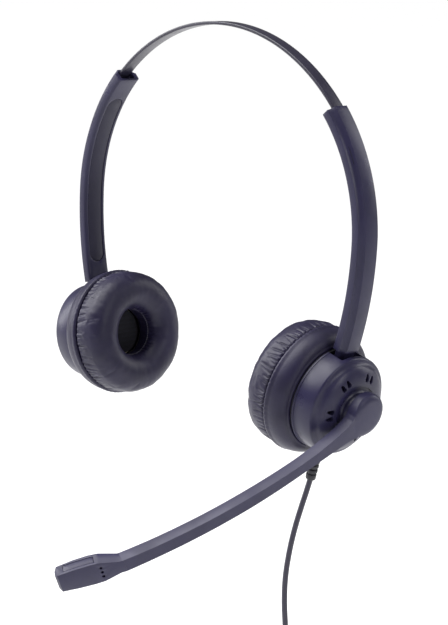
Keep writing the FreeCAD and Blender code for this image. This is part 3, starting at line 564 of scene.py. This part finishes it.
for pair in range(VENT_PAIRS):
    for half in (-1, 1):
        turn = VENT_START + pair * VENT_STEP + half * VENT_HALF_GAP
        tear = new_piece("vent", bpy.ops.mesh.primitive_cylinder_add, vertices=20, radius=VENT_RADIUS,
                         depth=VENT_DEPTH, location=(VENT_MIDDLE, 0, VENT_HEAD), rotation=(0, pi / 2, 0))
        with shaping(tear):
            pick(tear, "VERT", lambda at: at.z > VENT_HEAD + 0.00001)
            bpy.ops.transform.translate(value=(0, 0, VENT_TAIL - VENT_HEAD))
            bpy.ops.transform.resize(value=(1, VENT_TAPER, VENT_TAPER),
                                     center_override=(VENT_MIDDLE, 0, VENT_TAIL))
        tear.data.transform(Matrix.Rotation(turn, 4, "X"))
        carve(housing, tear)
for shell in (housing, plain_housing):
    ease_edges(shell, SHELL_EDGE, segments=2, angle=38)
    shell.data.transform(CUP)
    smooth(shell)
right_housing = handed(plain_housing, "right_housing_shell")
bpy.data.objects.remove(plain_housing)
put_on(housing, "left_cup", shell_plastic, "shell_plastic", "left_housing")
put_on(right_housing, "right_cup", shell_plastic, "shell_plastic", "right_housing")

disc = turned_piece("hub_disc", [
    (HUB_FLOOR, 0.0010), (HUB_FLOOR, 0.0101), (0.0330, 0.0101), (0.0334, 0.0094), (0.0336, 0.0080),
    (0.0337, 0.0060), (0.0338, 0.0010)], closed=False)
ease_edges(disc, DISC_EDGE)
disc.data.transform(CUP)
smooth(disc)
right_disc = handed(disc, "right_hub_disc")
bpy.data.objects.remove(disc)
put_on(right_disc, "right_cup", cover_plastic, "cover_plastic", "right_hub_plug")

boss = turned_piece("boom_boss", [
    (HUB_FLOOR, 0.0088), (0.0324, 0.0083), (0.0329, 0.0079), (0.0348, 0.0078), (0.0351, 0.0076),
    (0.0353, 0.0072), (0.0353, 0.0026), (HUB_FLOOR, 0.0026)])
boss.data.transform(CUP)
smooth(boss)
put_on(boss, "left_cup", shell_plastic, "shell_plastic", "boss_ring")


# ---- ear cushions ------------------------------------------------------------------------
# A foam ring in a thin leatherette cover. The cover is cut longer than the seams it is sewn
# to, so it gathers into small creases there; a smooth skirt behind the seam grips the cup.
CREST = (-0.0064, 0.0183)
THROAT = (0.0010, 0.0102)
BAND_EDGE = (-0.0002, 0.0261)
SEAM_TURN = (0.0066, 0.02665)
SEAM = (0.0073, 0.0259)
CUSHION_BACK = 0.0088
CUSHION_BACK_RADIUS = 0.0250
AROUND = 480
SOLVER_SCALE = 20.0
SOLVER_FRAMES = 14
MOST_SWELL = 0.0008
GATHERS = 86
PUCKERS = 60
OTHER_CUSHION_TURN = radians(67)
HOLE_STITCHES = 64
STITCH_PLACE = (0.0012, 0, 0.01012)
STITCH_HALF_SIZES = (0.00016, 0.00042, 0.00013)
UNEVENNESS = ((160, 0.00026), (420, 0.00011))


def quarter(start, end, steps, level_first):
    """Points of a quarter ellipse between two (depth, radius) points, without the first.

    It runs level with the depth axis at its start if level_first, or else at its end.
    """
    points = []
    for step in range(1, steps + 1):
        turn = pi / 2 * step / steps
        rise, fall = sin(turn), 1 - cos(turn)
        depth_share, radius_share = (rise, fall) if level_first else (fall, rise)
        points.append((start[0] + (end[0] - start[0]) * depth_share,
                       start[1] + (end[1] - start[1]) * radius_share))
    return points


def straight(start, end, steps):
    """Evenly spaced points of a line between two (depth, radius) points, without the first."""
    return [(start[0] + (end[0] - start[0]) * k / steps, start[1] + (end[1] - start[1]) * k / steps)
            for k in range(1, steps + 1)]


def creases(count, seed, lengths, depths, widths):
    """Irregular gathers round a seam: (angle, length, depth, half width, slant) of each."""
    random.seed(seed)
    made = []
    for index in range(count):
        turn = 2 * pi * (index + random.uniform(-0.38, 0.38)) / count
        made.append((turn, random.uniform(*lengths), random.uniform(*depths), random.uniform(*widths),
                     random.uniform(-0.22, 0.22)))
    return made


def pulled_in(made, turn, reach, radius):
    """How deep the cover is drawn in by its gathers, at a turn and a reach from their seam."""
    depth = 0.0
    for at, length, deepest, half_width, slant in made:
        if reach > length:
            continue
        across = (turn - at + pi) % (2 * pi) - pi
        across = across * radius - slant * reach
        if abs(across) < 4 * half_width:
            fade = (1 - reach / length) ** 0.7
            depth += deepest * fade * exp(-(across / half_width) ** 2)
            depth -= 0.28 * deepest * fade * exp(-((abs(across) - 2.1 * half_width) / half_width) ** 2)
    return depth


def draw_in(piece, made, reach_at):
    """Pulls a turned cover in along its gathers; reach_at gives a point's distance from their seam."""
    for corner in piece.data.vertices:
        at = corner.co
        radius = hypot(at.y, at.z)
        reach = reach_at(at.x, radius)
        if reach is not None:
            corner.co = at - corner.normal * pulled_in(made, atan2(at.z, at.y), reach, radius)
    piece.data.update()


def outer_reach(depth, radius):
    """Distance from the outer seam over the side of the cushion; None off the side."""
    if radius < CREST[1] or depth > SEAM_TURN[0] + 0.0003:
        return None
    return SEAM_TURN[0] - depth + 0.7 * max(0.0, BAND_EDGE[1] - radius)


def hole_reach(depth, radius):
    """Distance from the seam at the hole's throat; None off the funnel."""
    if radius >= CREST[1] or depth > THROAT[0] + 0.0001:
        return None
    return hypot(depth - THROAT[0], radius - THROAT[1])


def swell(cover):
    """Lets the cloth solver blow the gathered cover up over its foam, held at its sewn edges."""
    cover.data.transform(Matrix.Scale(SOLVER_SCALE, 4))
    start = [corner.co.copy() for corner in cover.data.vertices]
    held = cover.vertex_groups.new(name="held")
    for index, at in enumerate(start):
        depth, radius = at.x / SOLVER_SCALE, hypot(at.y, at.z) / SOLVER_SCALE
        if depth > SEAM[0] - 0.0002 or (depth > THROAT[0] - 0.0001 and radius < THROAT[1] + 0.0003):
            held.add([index], 1.0, "REPLACE")
    cloth = cover.modifiers.new("cloth", "CLOTH")
    settings = cloth.settings
    settings.vertex_group_mass = "held"
    settings.quality = 5
    settings.mass = 0.25
    settings.tension_stiffness = 30
    settings.compression_stiffness = 30
    settings.shear_stiffness = 15
    settings.bending_stiffness = 0.5
    settings.tension_damping = 8
    settings.compression_damping = 8
    settings.use_pressure = True
    settings.uniform_pressure_force = 3.0
    settings.effector_weights.gravity = 0
    cloth.collision_settings.use_self_collision = False
    scene = bpy.context.scene
    cloth.point_cache.frame_start = 1
    cloth.point_cache.frame_end = SOLVER_FRAMES
    for step in range(1, SOLVER_FRAMES + 1):
        scene.frame_set(step)
    solved = cover.evaluated_get(bpy.context.evaluated_depsgraph_get())
    moved = [corner.co.copy() for corner in solved.data.vertices]
    cover.modifiers.remove(cloth)
    for corner, before, after in zip(cover.data.vertices, start, moved):
        grown = after - before
        if grown.length > MOST_SWELL * SOLVER_SCALE:
            grown *= MOST_SWELL * SOLVER_SCALE / grown.length
        corner.co = (before + grown) / SOLVER_SCALE
    scene.frame_set(1)
    cover.vertex_groups.clear()


def leather(name, colour):
    """Thin leatherette: pebbled grain, a low sheen, painted shade darkening the creases and rubbed high
    spots.
    """
    finish = Finish(name, specular=0.32)
    cells = finish.node("ShaderNodeTexVoronoi", {"feature": "SMOOTH_F1"},
                        {"Vector": finish.place, "Scale": 2300.0, "Smoothness": 0.4}, "Distance")
    fine = finish.noise(5200, 2)
    puckers = finish.noise(520, 3)
    bend = finish.node("ShaderNodeNewGeometry", {}, {}, "Pointiness")
    shaded_creases = 1 - finish.between(bend, 0.42, 0.5)
    high = finish.between(bend, 0.51, 0.58)
    body = finish.mix(finish.between(finish.noise(75, 3), 0.35, 0.65), colour, darker(colour, 1.25))
    # Painted shade: the concave creases are darkened towards a third of the leather's colour, and they are
    # also made rougher.
    body = finish.mix(shaded_creases * 0.8, body, darker(colour, 0.3))
    finish.set(Base_Color=finish.mix(high * 0.35, body, darker(colour, 1.7)))
    finish.set(Roughness=0.40 + cells * 0.1 + shaded_creases * 0.2 - high * 0.06)
    finish.emboss(cells * 0.5 + fine * 0.15 + puckers * 0.8, 0.00005)
    return finish.material


cover_outline = (
    [SEAM, ((SEAM[0] + SEAM_TURN[0]) / 2 + 0.0001, 0.0263), SEAM_TURN] + straight(SEAM_TURN, BAND_EDGE, 12)
    + quarter(BAND_EDGE, CREST, 17, level_first=True) + quarter(CREST, THROAT, 16, level_first=False)
    + straight(THROAT, (CUSHION_BACK, THROAT[1]), 3)
    + straight((CUSHION_BACK, THROAT[1]), (CUSHION_BACK, CUSHION_BACK_RADIUS), 1))
leatherette = leather("leatherette", tint(32, 29, 50))
cushion = turned_piece("left_cushion_cover", cover_outline, sides=AROUND)
draw_in(cushion, creases(GATHERS, 11, (0.0030, 0.0100), (0.00025, 0.00065), (0.00026, 0.00046)), outer_reach)
draw_in(cushion, creases(PUCKERS, 12, (0.0020, 0.0060), (0.00008, 0.00028), (0.0003, 0.0005)), hole_reach)
for corner in cushion.data.vertices:
    corner.co += corner.normal * sum(noise.noise(corner.co * scale) * height for scale, height in UNEVENNESS)
swell(cushion)
work(cushion, "SUBSURF", levels=1, render_levels=1)
other_cushion = cushion.copy()
other_cushion.data = cushion.data.copy()
other_cushion.data.transform(Matrix.Rotation(OTHER_CUSHION_TURN, 4, "X"))
bpy.context.scene.collection.objects.link(other_cushion)
for cover in (cushion, other_cushion):
    cover.data.transform(CUP)
    for face in cover.data.polygons:
        face.use_smooth = True
right_cushion = handed(other_cushion, "right_cushion_cover")
bpy.data.objects.remove(other_cushion)

skirt_outline = (
    [(0.0076, 0.0257), (0.0077, 0.0265), (0.0080, 0.0271), (0.0085, 0.02735), (0.0091, 0.0273),
     (0.0097, 0.0269)]
    + quarter((0.0097, 0.0269), (0.0169, 0.0225), 12, level_first=True)
    + [(0.0172, 0.0222), (0.0173, 0.0218), (0.0172, 0.0212), (0.0168, 0.0211), (0.0096, 0.0248),
       (0.0080, 0.0253)])
skirt = turned_piece("left_cushion_skirt", skirt_outline, sides=AROUND // 2)
draw_in(skirt, creases(GATHERS, 21, (0.0012, 0.0042), (0.0001, 0.0003), (0.0003, 0.0005)),
        lambda depth, radius: depth - 0.0078 if depth > 0.0079 and radius > 0.0226 else None)
skirt.data.transform(CUP)
smooth(skirt, 60)
right_skirt = handed(skirt, "right_cushion_skirt")
for side, cover, band_behind in (("left", cushion, skirt), ("right", right_cushion, right_skirt)):
    put_on(cover, side + "_cup", leatherette, "leatherette", side + "_cushion")
    put_on(band_behind, side + "_cup", leatherette, "leatherette", side + "_cushion")

thread = rubbery("thread", tint(120, 118, 132), 0.6)
first = new_piece("stitch", bpy.ops.mesh.primitive_uv_sphere_add, segments=8, ring_count=6, radius=1.0,
                  location=STITCH_PLACE, scale=STITCH_HALF_SIZES)
stitches = [first]
for index in range(1, HOLE_STITCHES):
    stitch = first.copy()
    stitch.data = first.data.copy()
    bpy.context.scene.collection.objects.link(stitch)
    stitch.data.transform(Matrix.Rotation(2 * pi * index / HOLE_STITCHES, 4, "X"))
    stitches.append(stitch)
bpy.ops.object.select_all(action="DESELECT")
for stitch in stitches:
    stitch.select_set(True)
bpy.context.view_layer.objects.active = stitches[0]
bpy.ops.object.join()
sewing = bpy.context.object
sewing.name = "left_hole_stitches"
sewing.data.transform(CUP)
smooth(sewing, 60)
right_sewing = handed(sewing, "right_hole_stitches")
for side, row in (("left", sewing), ("right", right_sewing)):
    put_on(row, side + "_cup", thread, "leatherette", side + "_cushion")


# ---- microphone boom ---------------------------------------------------------------------
# A curved moulded bar that grows out of a round pivot disc, with a soft crown on the disc.
# It turns on the boss of the left cup and carries the microphone capsule at its end.
BOOM_DIRECTION = radians(120)
BOOM = CUP @ Matrix.Rotation(BOOM_DIRECTION, 4, "X")
BOOM_RADIUS = 0.277
BOOM_OUTSIDE = 0.0403
BOOM_THICKNESS = 0.0048
BOOM_LENGTH = 0.1127
DISC_RADIUS = 0.0088
DISC_OFFSET = Vector((0, 0.0004, -0.0007))
DISC_SHOULDER = 0.0018
DISC_FLAT = 0.68
DISC_CROWN = 0.0003
BOOM_ROOT = 0.0052
BOOM_WIDTHS = ((0.008, 0.0045), (0.010, 0.0038), (0.014, 0.0031), (0.021, 0.0026), (0.028, 0.0023),
               (0.036, 0.0022), (0.044, 0.00228), (0.060, 0.0025), (0.080, 0.0026), (0.100, 0.00275),
               (BOOM_LENGTH, 0.00295))
BOOM_EDGE = 0.0004
NECK_END = 0.0078
DISC_CUT_STEP = 0.0007
DISC_CUTS_ALONG = 27
DISC_CUTS_EACH_SIDE = 12
DISC_CUTS_START = -0.0096
BAR_CUT_STEP = 0.0024
BAR_CUTS = 42
BAR_CUTS_START = 0.0095


def onto_boom(point):
    """Where a point of the straight boom (outward, width, along) goes when it is bent."""
    if point.z < 0:
        return Vector((BOOM_OUTSIDE + point.x, point.y, point.z))
    turn = asin(point.z / BOOM_RADIUS)
    reach = BOOM_RADIUS + point.x
    return Vector((BOOM_OUTSIDE - BOOM_RADIUS + reach * cos(turn), point.y, reach * sin(turn)))


def eased(value, low, high):
    """0 below low, 1 above high and smooth between."""
    share = min(1.0, max(0.0, (value - low) / (high - low)))
    return share * share * (3 - 2 * share)


def disc_crown(point):
    """The pivot disc's rounded shoulder, which dies out where the bar leaves the disc."""
    if point.x < -DISC_SHOULDER or point.z > DISC_RADIUS:
        return point
    reach = min(1.0, hypot(point.y - DISC_OFFSET.y, point.z - DISC_OFFSET.z) / DISC_RADIUS)
    share = 1 + point.x / DISC_SHOULDER
    edge = max(0.0, (reach - DISC_FLAT) / (1 - DISC_FLAT))
    drop = DISC_SHOULDER * (1 - (1 - edge ** 2.2) ** 0.5) * (1 - eased(point.z, 0.0, NECK_END))
    return Vector((point.x + share * (DISC_CROWN * (1 - reach * reach) - drop), point.y, point.z))


boom = new_piece("boom_moulding", bpy.ops.mesh.primitive_cylinder_add, vertices=96, radius=DISC_RADIUS,
                 depth=BOOM_THICKNESS, location=DISC_OFFSET - Vector((BOOM_THICKNESS / 2, 0, 0)),
                 rotation=(0, pi / 2, 0))
with shaping(boom):
    pick(boom, "FACE", lambda at, normal: normal.z > 0.8 and abs(normal.x) < 0.5)
    width, reached = BOOM_ROOT, 0.0
    for along, half_width in BOOM_WIDTHS:
        bpy.ops.mesh.extrude_region_move(TRANSFORM_OT_translate={"value": (0, 0, along - reached)})
        flat = 0 if reached == 0.0 else 1
        if flat == 0:
            bpy.ops.transform.translate(value=(0, -DISC_OFFSET.y, 0))
        bpy.ops.transform.resize(value=(1, half_width / width, flat), center_override=(0, 0, along))
        width, reached = half_width, along
face_outwards(boom)
ease_edges(boom, BOOM_EDGE, segments=4, angle=40)
with shaping(boom):
    cuts = [((0, 0, DISC_CUTS_START + DISC_CUT_STEP * step), (0, 0, 1))
            for step in range(1, DISC_CUTS_ALONG + 1)]
    cuts += [((0, 0, BAR_CUTS_START + BAR_CUT_STEP * step), (0, 0, 1)) for step in range(1, BAR_CUTS + 1)]
    cuts += [((0, DISC_CUT_STEP * step, 0), (0, 1, 0))
             for step in range(-DISC_CUTS_EACH_SIDE, DISC_CUTS_EACH_SIDE + 1)]
    for place, across in cuts:
        bpy.ops.mesh.select_all(action="SELECT")
        bpy.ops.mesh.bisect(plane_co=place, plane_no=across)
reshape(boom, disc_crown)
reshape(boom, onto_boom)
boom.data.transform(BOOM)
smooth(boom, 40)
boom_plastic = moulded("boom_plastic", tint(39, 37, 61), 0.38, specular=0.3)
put_on(boom, "boom", boom_plastic, "boom_plastic", "boom_arm", "boom_cap")

MIC_TURN = radians(-34)
MIC = BOOM @ Matrix.Translation(onto_boom(Vector((0, 0, BOOM_LENGTH)))) @ Matrix.Rotation(MIC_TURN, 4, "Y")
MIC_ROOT = 0.0030
MIC_ROOT_LENGTHS = (-0.0006, 0.0015)
MIC_LENGTH = 0.0253
MIC_SECTIONS = ((0.0085, 0.0051, 0.0054), (0.0125, 0.0053, 0.0056), (0.0185, 0.0051, 0.0055),
                (MIC_LENGTH, 0.0045, 0.0050))
NOSE_INSET = 0.0012
NOSE_RISE = 0.0010
RECESS_ACROSS = (-0.0044, -0.0011)
RECESS_ALONG = (0.0105, 0.0228)
RECESS_FLOOR = 0.0041
RECESS_EDGE = 0.0004
WINDOW_GAP = 0.00018
WINDOW_BACK = 0.0036
WINDOW_SUNK = 0.00008
WINDOW_CORNER = 0.0003
WINDOW_EDGE = 0.00012
MIC_EDGE = 0.0004
PORT_HEIGHTS = (-0.0023, 0.0, 0.0023)
PORT_RADIUS = 0.00062
PORT_DEPTH = 0.004
PORT_PLACE = 0.0086
PORT_MIDDLE = -0.0005
capsule = block("microphone_capsule", (-BOOM_THICKNESS, 0), (-MIC_ROOT, MIC_ROOT), MIC_ROOT_LENGTHS)
with shaping(capsule):
    pick(capsule, "FACE", lambda at, normal: normal.z > 0.9)
    half, thick, reached = MIC_ROOT, BOOM_THICKNESS, MIC_ROOT_LENGTHS[1]
    for along, half_width, thickness in MIC_SECTIONS:
        bpy.ops.mesh.extrude_region_move(TRANSFORM_OT_translate={"value": (0, 0, along - reached)})
        bpy.ops.transform.resize(value=(thickness / thick, half_width / half, 1),
                                 center_override=(0, 0, along))
        half, thick, reached = half_width, thickness, along
    bpy.ops.mesh.inset(thickness=NOSE_INSET)
    bpy.ops.transform.translate(value=(0, 0, NOSE_RISE))
window = capsule.copy()
window.data = capsule.data.copy()
window.name = "microphone_window"
bpy.context.scene.collection.objects.link(window)
window_recess = block("window_recess", RECESS_ACROSS, (RECESS_FLOOR, 0.0070), RECESS_ALONG)
ease_edges(window_recess, RECESS_EDGE)
carve(capsule, window_recess)
for height in PORT_HEIGHTS:
    port = new_piece("port", bpy.ops.mesh.primitive_cylinder_add, vertices=24, radius=PORT_RADIUS,
                     depth=PORT_DEPTH, location=(PORT_MIDDLE, height, PORT_PLACE), rotation=(0, pi / 2, 0))
    carve(capsule, port)
ease_edges(capsule, MIC_EDGE, segments=3, angle=18)
capsule.data.transform(MIC)
smooth(capsule, 35)
put_on(capsule, "boom", boom_plastic, "boom_plastic", "mic_housing")

window.data.transform(Matrix.Translation((0, -WINDOW_SUNK, 0)))
opening = block("opening", (RECESS_ACROSS[0] + WINDOW_GAP, RECESS_ACROSS[1] - WINDOW_GAP),
                (WINDOW_BACK, 0.0080), (RECESS_ALONG[0] + WINDOW_GAP, RECESS_ALONG[1] - WINDOW_GAP))
ease_edges(opening, WINDOW_CORNER)
work(window, "BOOLEAN", operation="INTERSECT", solver="EXACT", object=opening)
bpy.data.objects.remove(opening)
ease_edges(window, WINDOW_EDGE, segments=2, angle=18)
window.data.transform(MIC)
smooth(window)
put_on(window, "boom", boom_plastic, "boom_plastic", "mic_window")


# ---- strain relief and plug --------------------------------------------------------------
# A soft ribbed sleeve carries the cord out of the cup, and a moulded grip with finger ribs holds
# the four-pole plug, whose plated rings are parted by thin insulators.
RELIEF_TOP = Vector((0.0215, -0.0050, -0.0213))
RELIEF_RADIUS = 0.0027
RELIEF_LENGTH = 0.0130
RELIEF_TAPER = 0.00055
RELIEF_BORE = 0.0012
RELIEF_EDGE = 0.00012
RELIEF_GROOVES = 4
GROOVE_START = 0.0034
GROOVE_STEP = 0.0021
GROOVE_RADIUS = 0.0016
relief_outline = [(0.0, RELIEF_RADIUS), (0.0030, RELIEF_RADIUS)]
for groove in range(RELIEF_GROOVES):
    depth = GROOVE_START + GROOVE_STEP * groove
    radius = RELIEF_RADIUS - RELIEF_TAPER * (depth / RELIEF_LENGTH)
    relief_outline += [(depth, radius), (depth + 0.0001, GROOVE_RADIUS), (depth + 0.0008, GROOVE_RADIUS),
                       (depth + 0.0009, radius - 0.0001)]
relief_outline += [(0.0126, 0.0021), (RELIEF_LENGTH, 0.0018), (RELIEF_LENGTH, RELIEF_BORE),
                   (-0.0040, RELIEF_BORE), (-0.0040, 0.0020), (0.0, 0.0020)]
relief = turned_piece("strain_relief_sleeve", relief_outline, sides=48)
ease_edges(relief, RELIEF_EDGE, segments=2)
relief.data.transform(CUP @ Matrix.Translation(RELIEF_TOP) @ Matrix.Rotation(pi / 2, 4, "Y"))
smooth(relief)
relief_rubber = rubbery("relief_rubber", tint(34, 33, 40), 0.5)
put_on(relief, "left_cup", relief_rubber, "cord_jacket", "strain_relief")


PLUG_TOP = Vector((0.0610, -0.0109, -0.1505))
PLUG_AXIS = Vector((-0.06, 0.02, -1.0))
GRIP_RADIUS = 0.0039
GRIP_EDGE = 0.0001
GRIP_RIBS = 6
RIB_START = 0.0110
RIB_STEP = 0.0016
RIB_FLOOR = 0.0036
PIN_RADIUS = 0.00175
PIN_GROOVE = 0.00168
PIN_INSULATORS = (0.0290, 0.0315, 0.0340)
PLUG = Matrix.Translation(PLUG_TOP) @ PLUG_AXIS.to_track_quat("X", "Y").to_matrix().to_4x4()
plug_outline = [(0.0, 0.0012), (0.0, 0.0017), (0.0003, 0.0019), (0.0076, 0.0026), (0.0082, 0.0030),
                (0.0088, 0.0036), (0.0096, GRIP_RADIUS)]
for rib in range(GRIP_RIBS):
    start = RIB_START + RIB_STEP * rib
    plug_outline += [(start, GRIP_RADIUS), (start + 0.0002, RIB_FLOOR), (start + 0.0008, RIB_FLOOR),
                     (start + 0.0010, GRIP_RADIUS)]
plug_outline += [(0.0230, GRIP_RADIUS), (0.0237, 0.0036), (0.0240, 0.0029), (0.0250, 0.0029),
                 (0.0252, 0.0027), (0.0252, 0.0017)]
grip = turned_piece("plug_grip", plug_outline, sides=64)
ease_edges(grip, GRIP_EDGE, segments=2)
grip.data.transform(PLUG)
smooth(grip)
put_on(grip, "left_cup", relief_rubber, "cord_jacket", "plug_body")
pin_outline = [(0.0250, 0.0008), (0.0250, PIN_RADIUS)]
for ring in PIN_INSULATORS:
    pin_outline += [(ring, PIN_RADIUS), (ring + 0.0001, PIN_GROOVE), (ring + 0.0007, PIN_GROOVE),
                    (ring + 0.0008, PIN_RADIUS)]
pin_outline += [(0.0360, PIN_RADIUS), (0.0365, 0.0013), (0.0368, 0.0012), (0.0373, 0.00145),
                (0.0378, 0.00160), (0.0385, 0.00125), (0.0391, 0.0006), (0.0392, 0.0002)]
pin = turned_piece("plug_contacts", pin_outline, closed=False, sides=48)
pin.data.transform(PLUG)
smooth(pin)

plug_metal = Finish("plug_metal", metallic=1.0)
scratches = plug_metal.between(plug_metal.noise(2400, 3), 0.55, 0.7)
plug_metal.set(Base_Color=plug_metal.mix(scratches * 0.4, (0.80, 0.62, 0.30, 1.0), (0.55, 0.42, 0.22, 1.0)))
plug_metal.set(Roughness=0.18 + scratches * 0.2)
plug_metal.emboss(plug_metal.noise(1800, 2), 0.000008)
put_on(pin, "left_cup", plug_metal.material, "plug_metal", "plug_pin")


# ---- hidden hardware ---------------------------------------------------------------------
# Springs, posts, clips, speakers and screws keep the shape they were designed with, and get
# the finish of what they are made of; some also have their sharp edges eased by modifiers.
SMALL_PART_EDGE = 0.00015
TIE_EDGE = 0.00025


def dress(name, material, ease=0.0):
    """Gives a fixed piece its finish and eases its sharp edges by ease metres."""
    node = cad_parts[name]
    for slot in node.material_slots:
        slot.material = material
    if ease:
        weld = node.modifiers.new("weld", "WELD")
        weld.merge_threshold = 0.000002
        flat = node.modifiers.new("flat", "DECIMATE")
        flat.decimate_type = "DISSOLVE"
        flat.angle_limit = radians(0.8)
        bevel = node.modifiers.new("ease", "BEVEL")
        bevel.width = ease
        bevel.segments = 2
        bevel.angle_limit = radians(35)


def metal(name, colour, roughness):
    """Drawn or plated metal: fine drawing lines along Z and a little tarnish."""
    finish = Finish(name, metallic=1.0)
    lines = finish.node("ShaderNodeMapping", {},
                        {"Vector": finish.place, "Scale": (1.0, 1.0, 0.04)}, "Vector")
    grain = finish.node("ShaderNodeTexNoise", {}, {"Vector": lines, "Scale": 5200.0, "Detail": 2.0}, "Fac")
    tarnish = finish.between(finish.noise(600, 3), 0.45, 0.7)
    finish.set(Base_Color=finish.mix(tarnish * 0.5, colour, darker(colour, 0.62)))
    finish.set(Roughness=roughness + grain * 0.12 + tarnish * 0.08)
    finish.emboss(grain, 0.000006)
    return finish.material


def woven(name, colour, threads):
    """Close weave: two sets of threads that cross, with painted shade darkening the hollows between them."""
    finish = Finish(name, specular=0.2, sheen=0.3)
    across, along = (
        finish.node("ShaderNodeTexWave", {"bands_direction": direction},
                    {"Vector": finish.place, "Scale": threads, "Distortion": 0.6}, "Fac")
        for direction in ("X", "Z"))
    raised = across * 0.5 + along * 0.5
    # Painted shade: the colour follows the thread height, dark in the hollows and light on the raised
    # threads.
    finish.set(Base_Color=finish.mix(raised, darker(colour, 0.5), darker(colour, 1.5)), Roughness=0.85)
    finish.emboss(raised, 0.00012)
    return finish.material


def circuit_lacquer(name):
    """Green solder mask with raised copper tracks."""
    finish = Finish(name, specular=0.5)
    tracks = finish.node("ShaderNodeTexBrick", {"offset": 0.5},
                         {"Vector": finish.place, "Scale": 420.0, "Mortar Size": 0.06}, "Fac")
    finish.set(Base_Color=finish.mix(tracks, tint(20, 84, 48), tint(38, 118, 70)), Roughness=0.3)
    finish.emboss(tracks, 0.00004)
    return finish.material


dark_plastic = moulded("dark_plastic", tint(24, 23, 30), 0.5, specular=0.3)
spring_steel = metal("spring_steel", (0.50, 0.50, 0.52, 1.0), 0.28)
nickel_plate = metal("magnet_metal", (0.58, 0.57, 0.54, 1.0), 0.2)
film = moulded("clear_film", tint(176, 168, 140), 0.2, grain=0.000003)
scrim_cloth = woven("foam_cloth", tint(26, 25, 34), 900.0)
tie_cloth = woven("tie_cloth", tint(34, 33, 40), 700.0)
board_green = circuit_lacquer("board_green")

for side in ("left_", "right_"):
    for part in ("detent_spring", "swivel_post", "swivel_clip", "baffle_screws"):
        dress(side + part, spring_steel)
    for part in ("band_stop", "swivel_block", "swivel_bracket", "speaker_frame"):
        dress(side + part, dark_plastic, SMALL_PART_EDGE)
    dress(side + "baffle", dark_plastic)
    dress(side + "speaker_magnet", nickel_plate)
    dress(side + "speaker_diaphragm", film)
    dress(side + "cushion_scrim", scrim_cloth)
for part in ("boom_screw", "boom_washer", "boom_nut"):
    dress(part, spring_steel)
dress("mic_element", nickel_plate)
dress("circuit_board", board_green)
dress("cord_tie", tie_cloth, TIE_EDGE)


# ---- studio ------------------------------------------------------------------------------
# A pale floor well below the hanging headset, a dim white room, a broad key and four soft boxes.
FLOOR_HEIGHT = -0.45
FLOOR_SIZE = 40.0
KEY_STRENGTH = 3.7
KEY_ANGLE = radians(55)
KEY_PLACE = Vector((-0.46, -0.45, 0.92))
ROOM_STRENGTH = 0.15

bpy.ops.object.select_all(action="DESELECT")
bpy.ops.mesh.primitive_plane_add(size=FLOOR_SIZE, location=(0, 0, FLOOR_HEIGHT))
floor = bpy.context.object
floor.name = "floor"
floor_paint = Finish("floor_paint", specular=0.1)
floor_paint.set(Base_Color=(0.92, 0.92, 0.92, 1.0), Roughness=0.9)
floor.data.materials.append(floor_paint.material)


def soft_box(name, place, aim, size, power):
    """A rectangular white light that faces aim."""
    light = bpy.data.lights.new(name, "AREA")
    light.shape = "RECTANGLE"
    light.size, light.size_y = size
    light.energy = power
    lamp = bpy.data.objects.new(name, light)
    bpy.context.scene.collection.objects.link(lamp)
    lamp.location = place
    lamp.rotation_euler = (Vector(aim) - Vector(place)).to_track_quat("-Z", "Y").to_euler()


soft_box("top_box", (-0.1, -0.1, 1.4), (0, 0, 0), (1.0, 1.0), 8)
soft_box("left_box", (-1.5, -0.7, 0.7), (0, 0, 0.03), (0.7, 1.5), 26)
soft_box("right_box", (1.45, 0.05, 0.85), (0, 0, 0), (0.5, 1.2), 9)
soft_box("back_box", (0.6, 1.5, 0.7), (0, 0, 0), (0.6, 1.2), 9)

key = bpy.data.lights.new("key", "SUN")
key.energy = KEY_STRENGTH
key.angle = KEY_ANGLE
key_lamp = bpy.data.objects.new("key", key)
bpy.context.scene.collection.objects.link(key_lamp)
key_lamp.rotation_euler = KEY_PLACE.to_track_quat("Z", "Y").to_euler()

world = bpy.data.worlds.new("room")
bpy.context.scene.world = world
world.use_nodes = True
world.node_tree.nodes["Background"].inputs["Color"].default_value = (1.0, 1.0, 1.0, 1.0)
world.node_tree.nodes["Background"].inputs["Strength"].default_value = ROOM_STRENGTH
bpy.context.scene.view_settings.view_transform = "Standard"
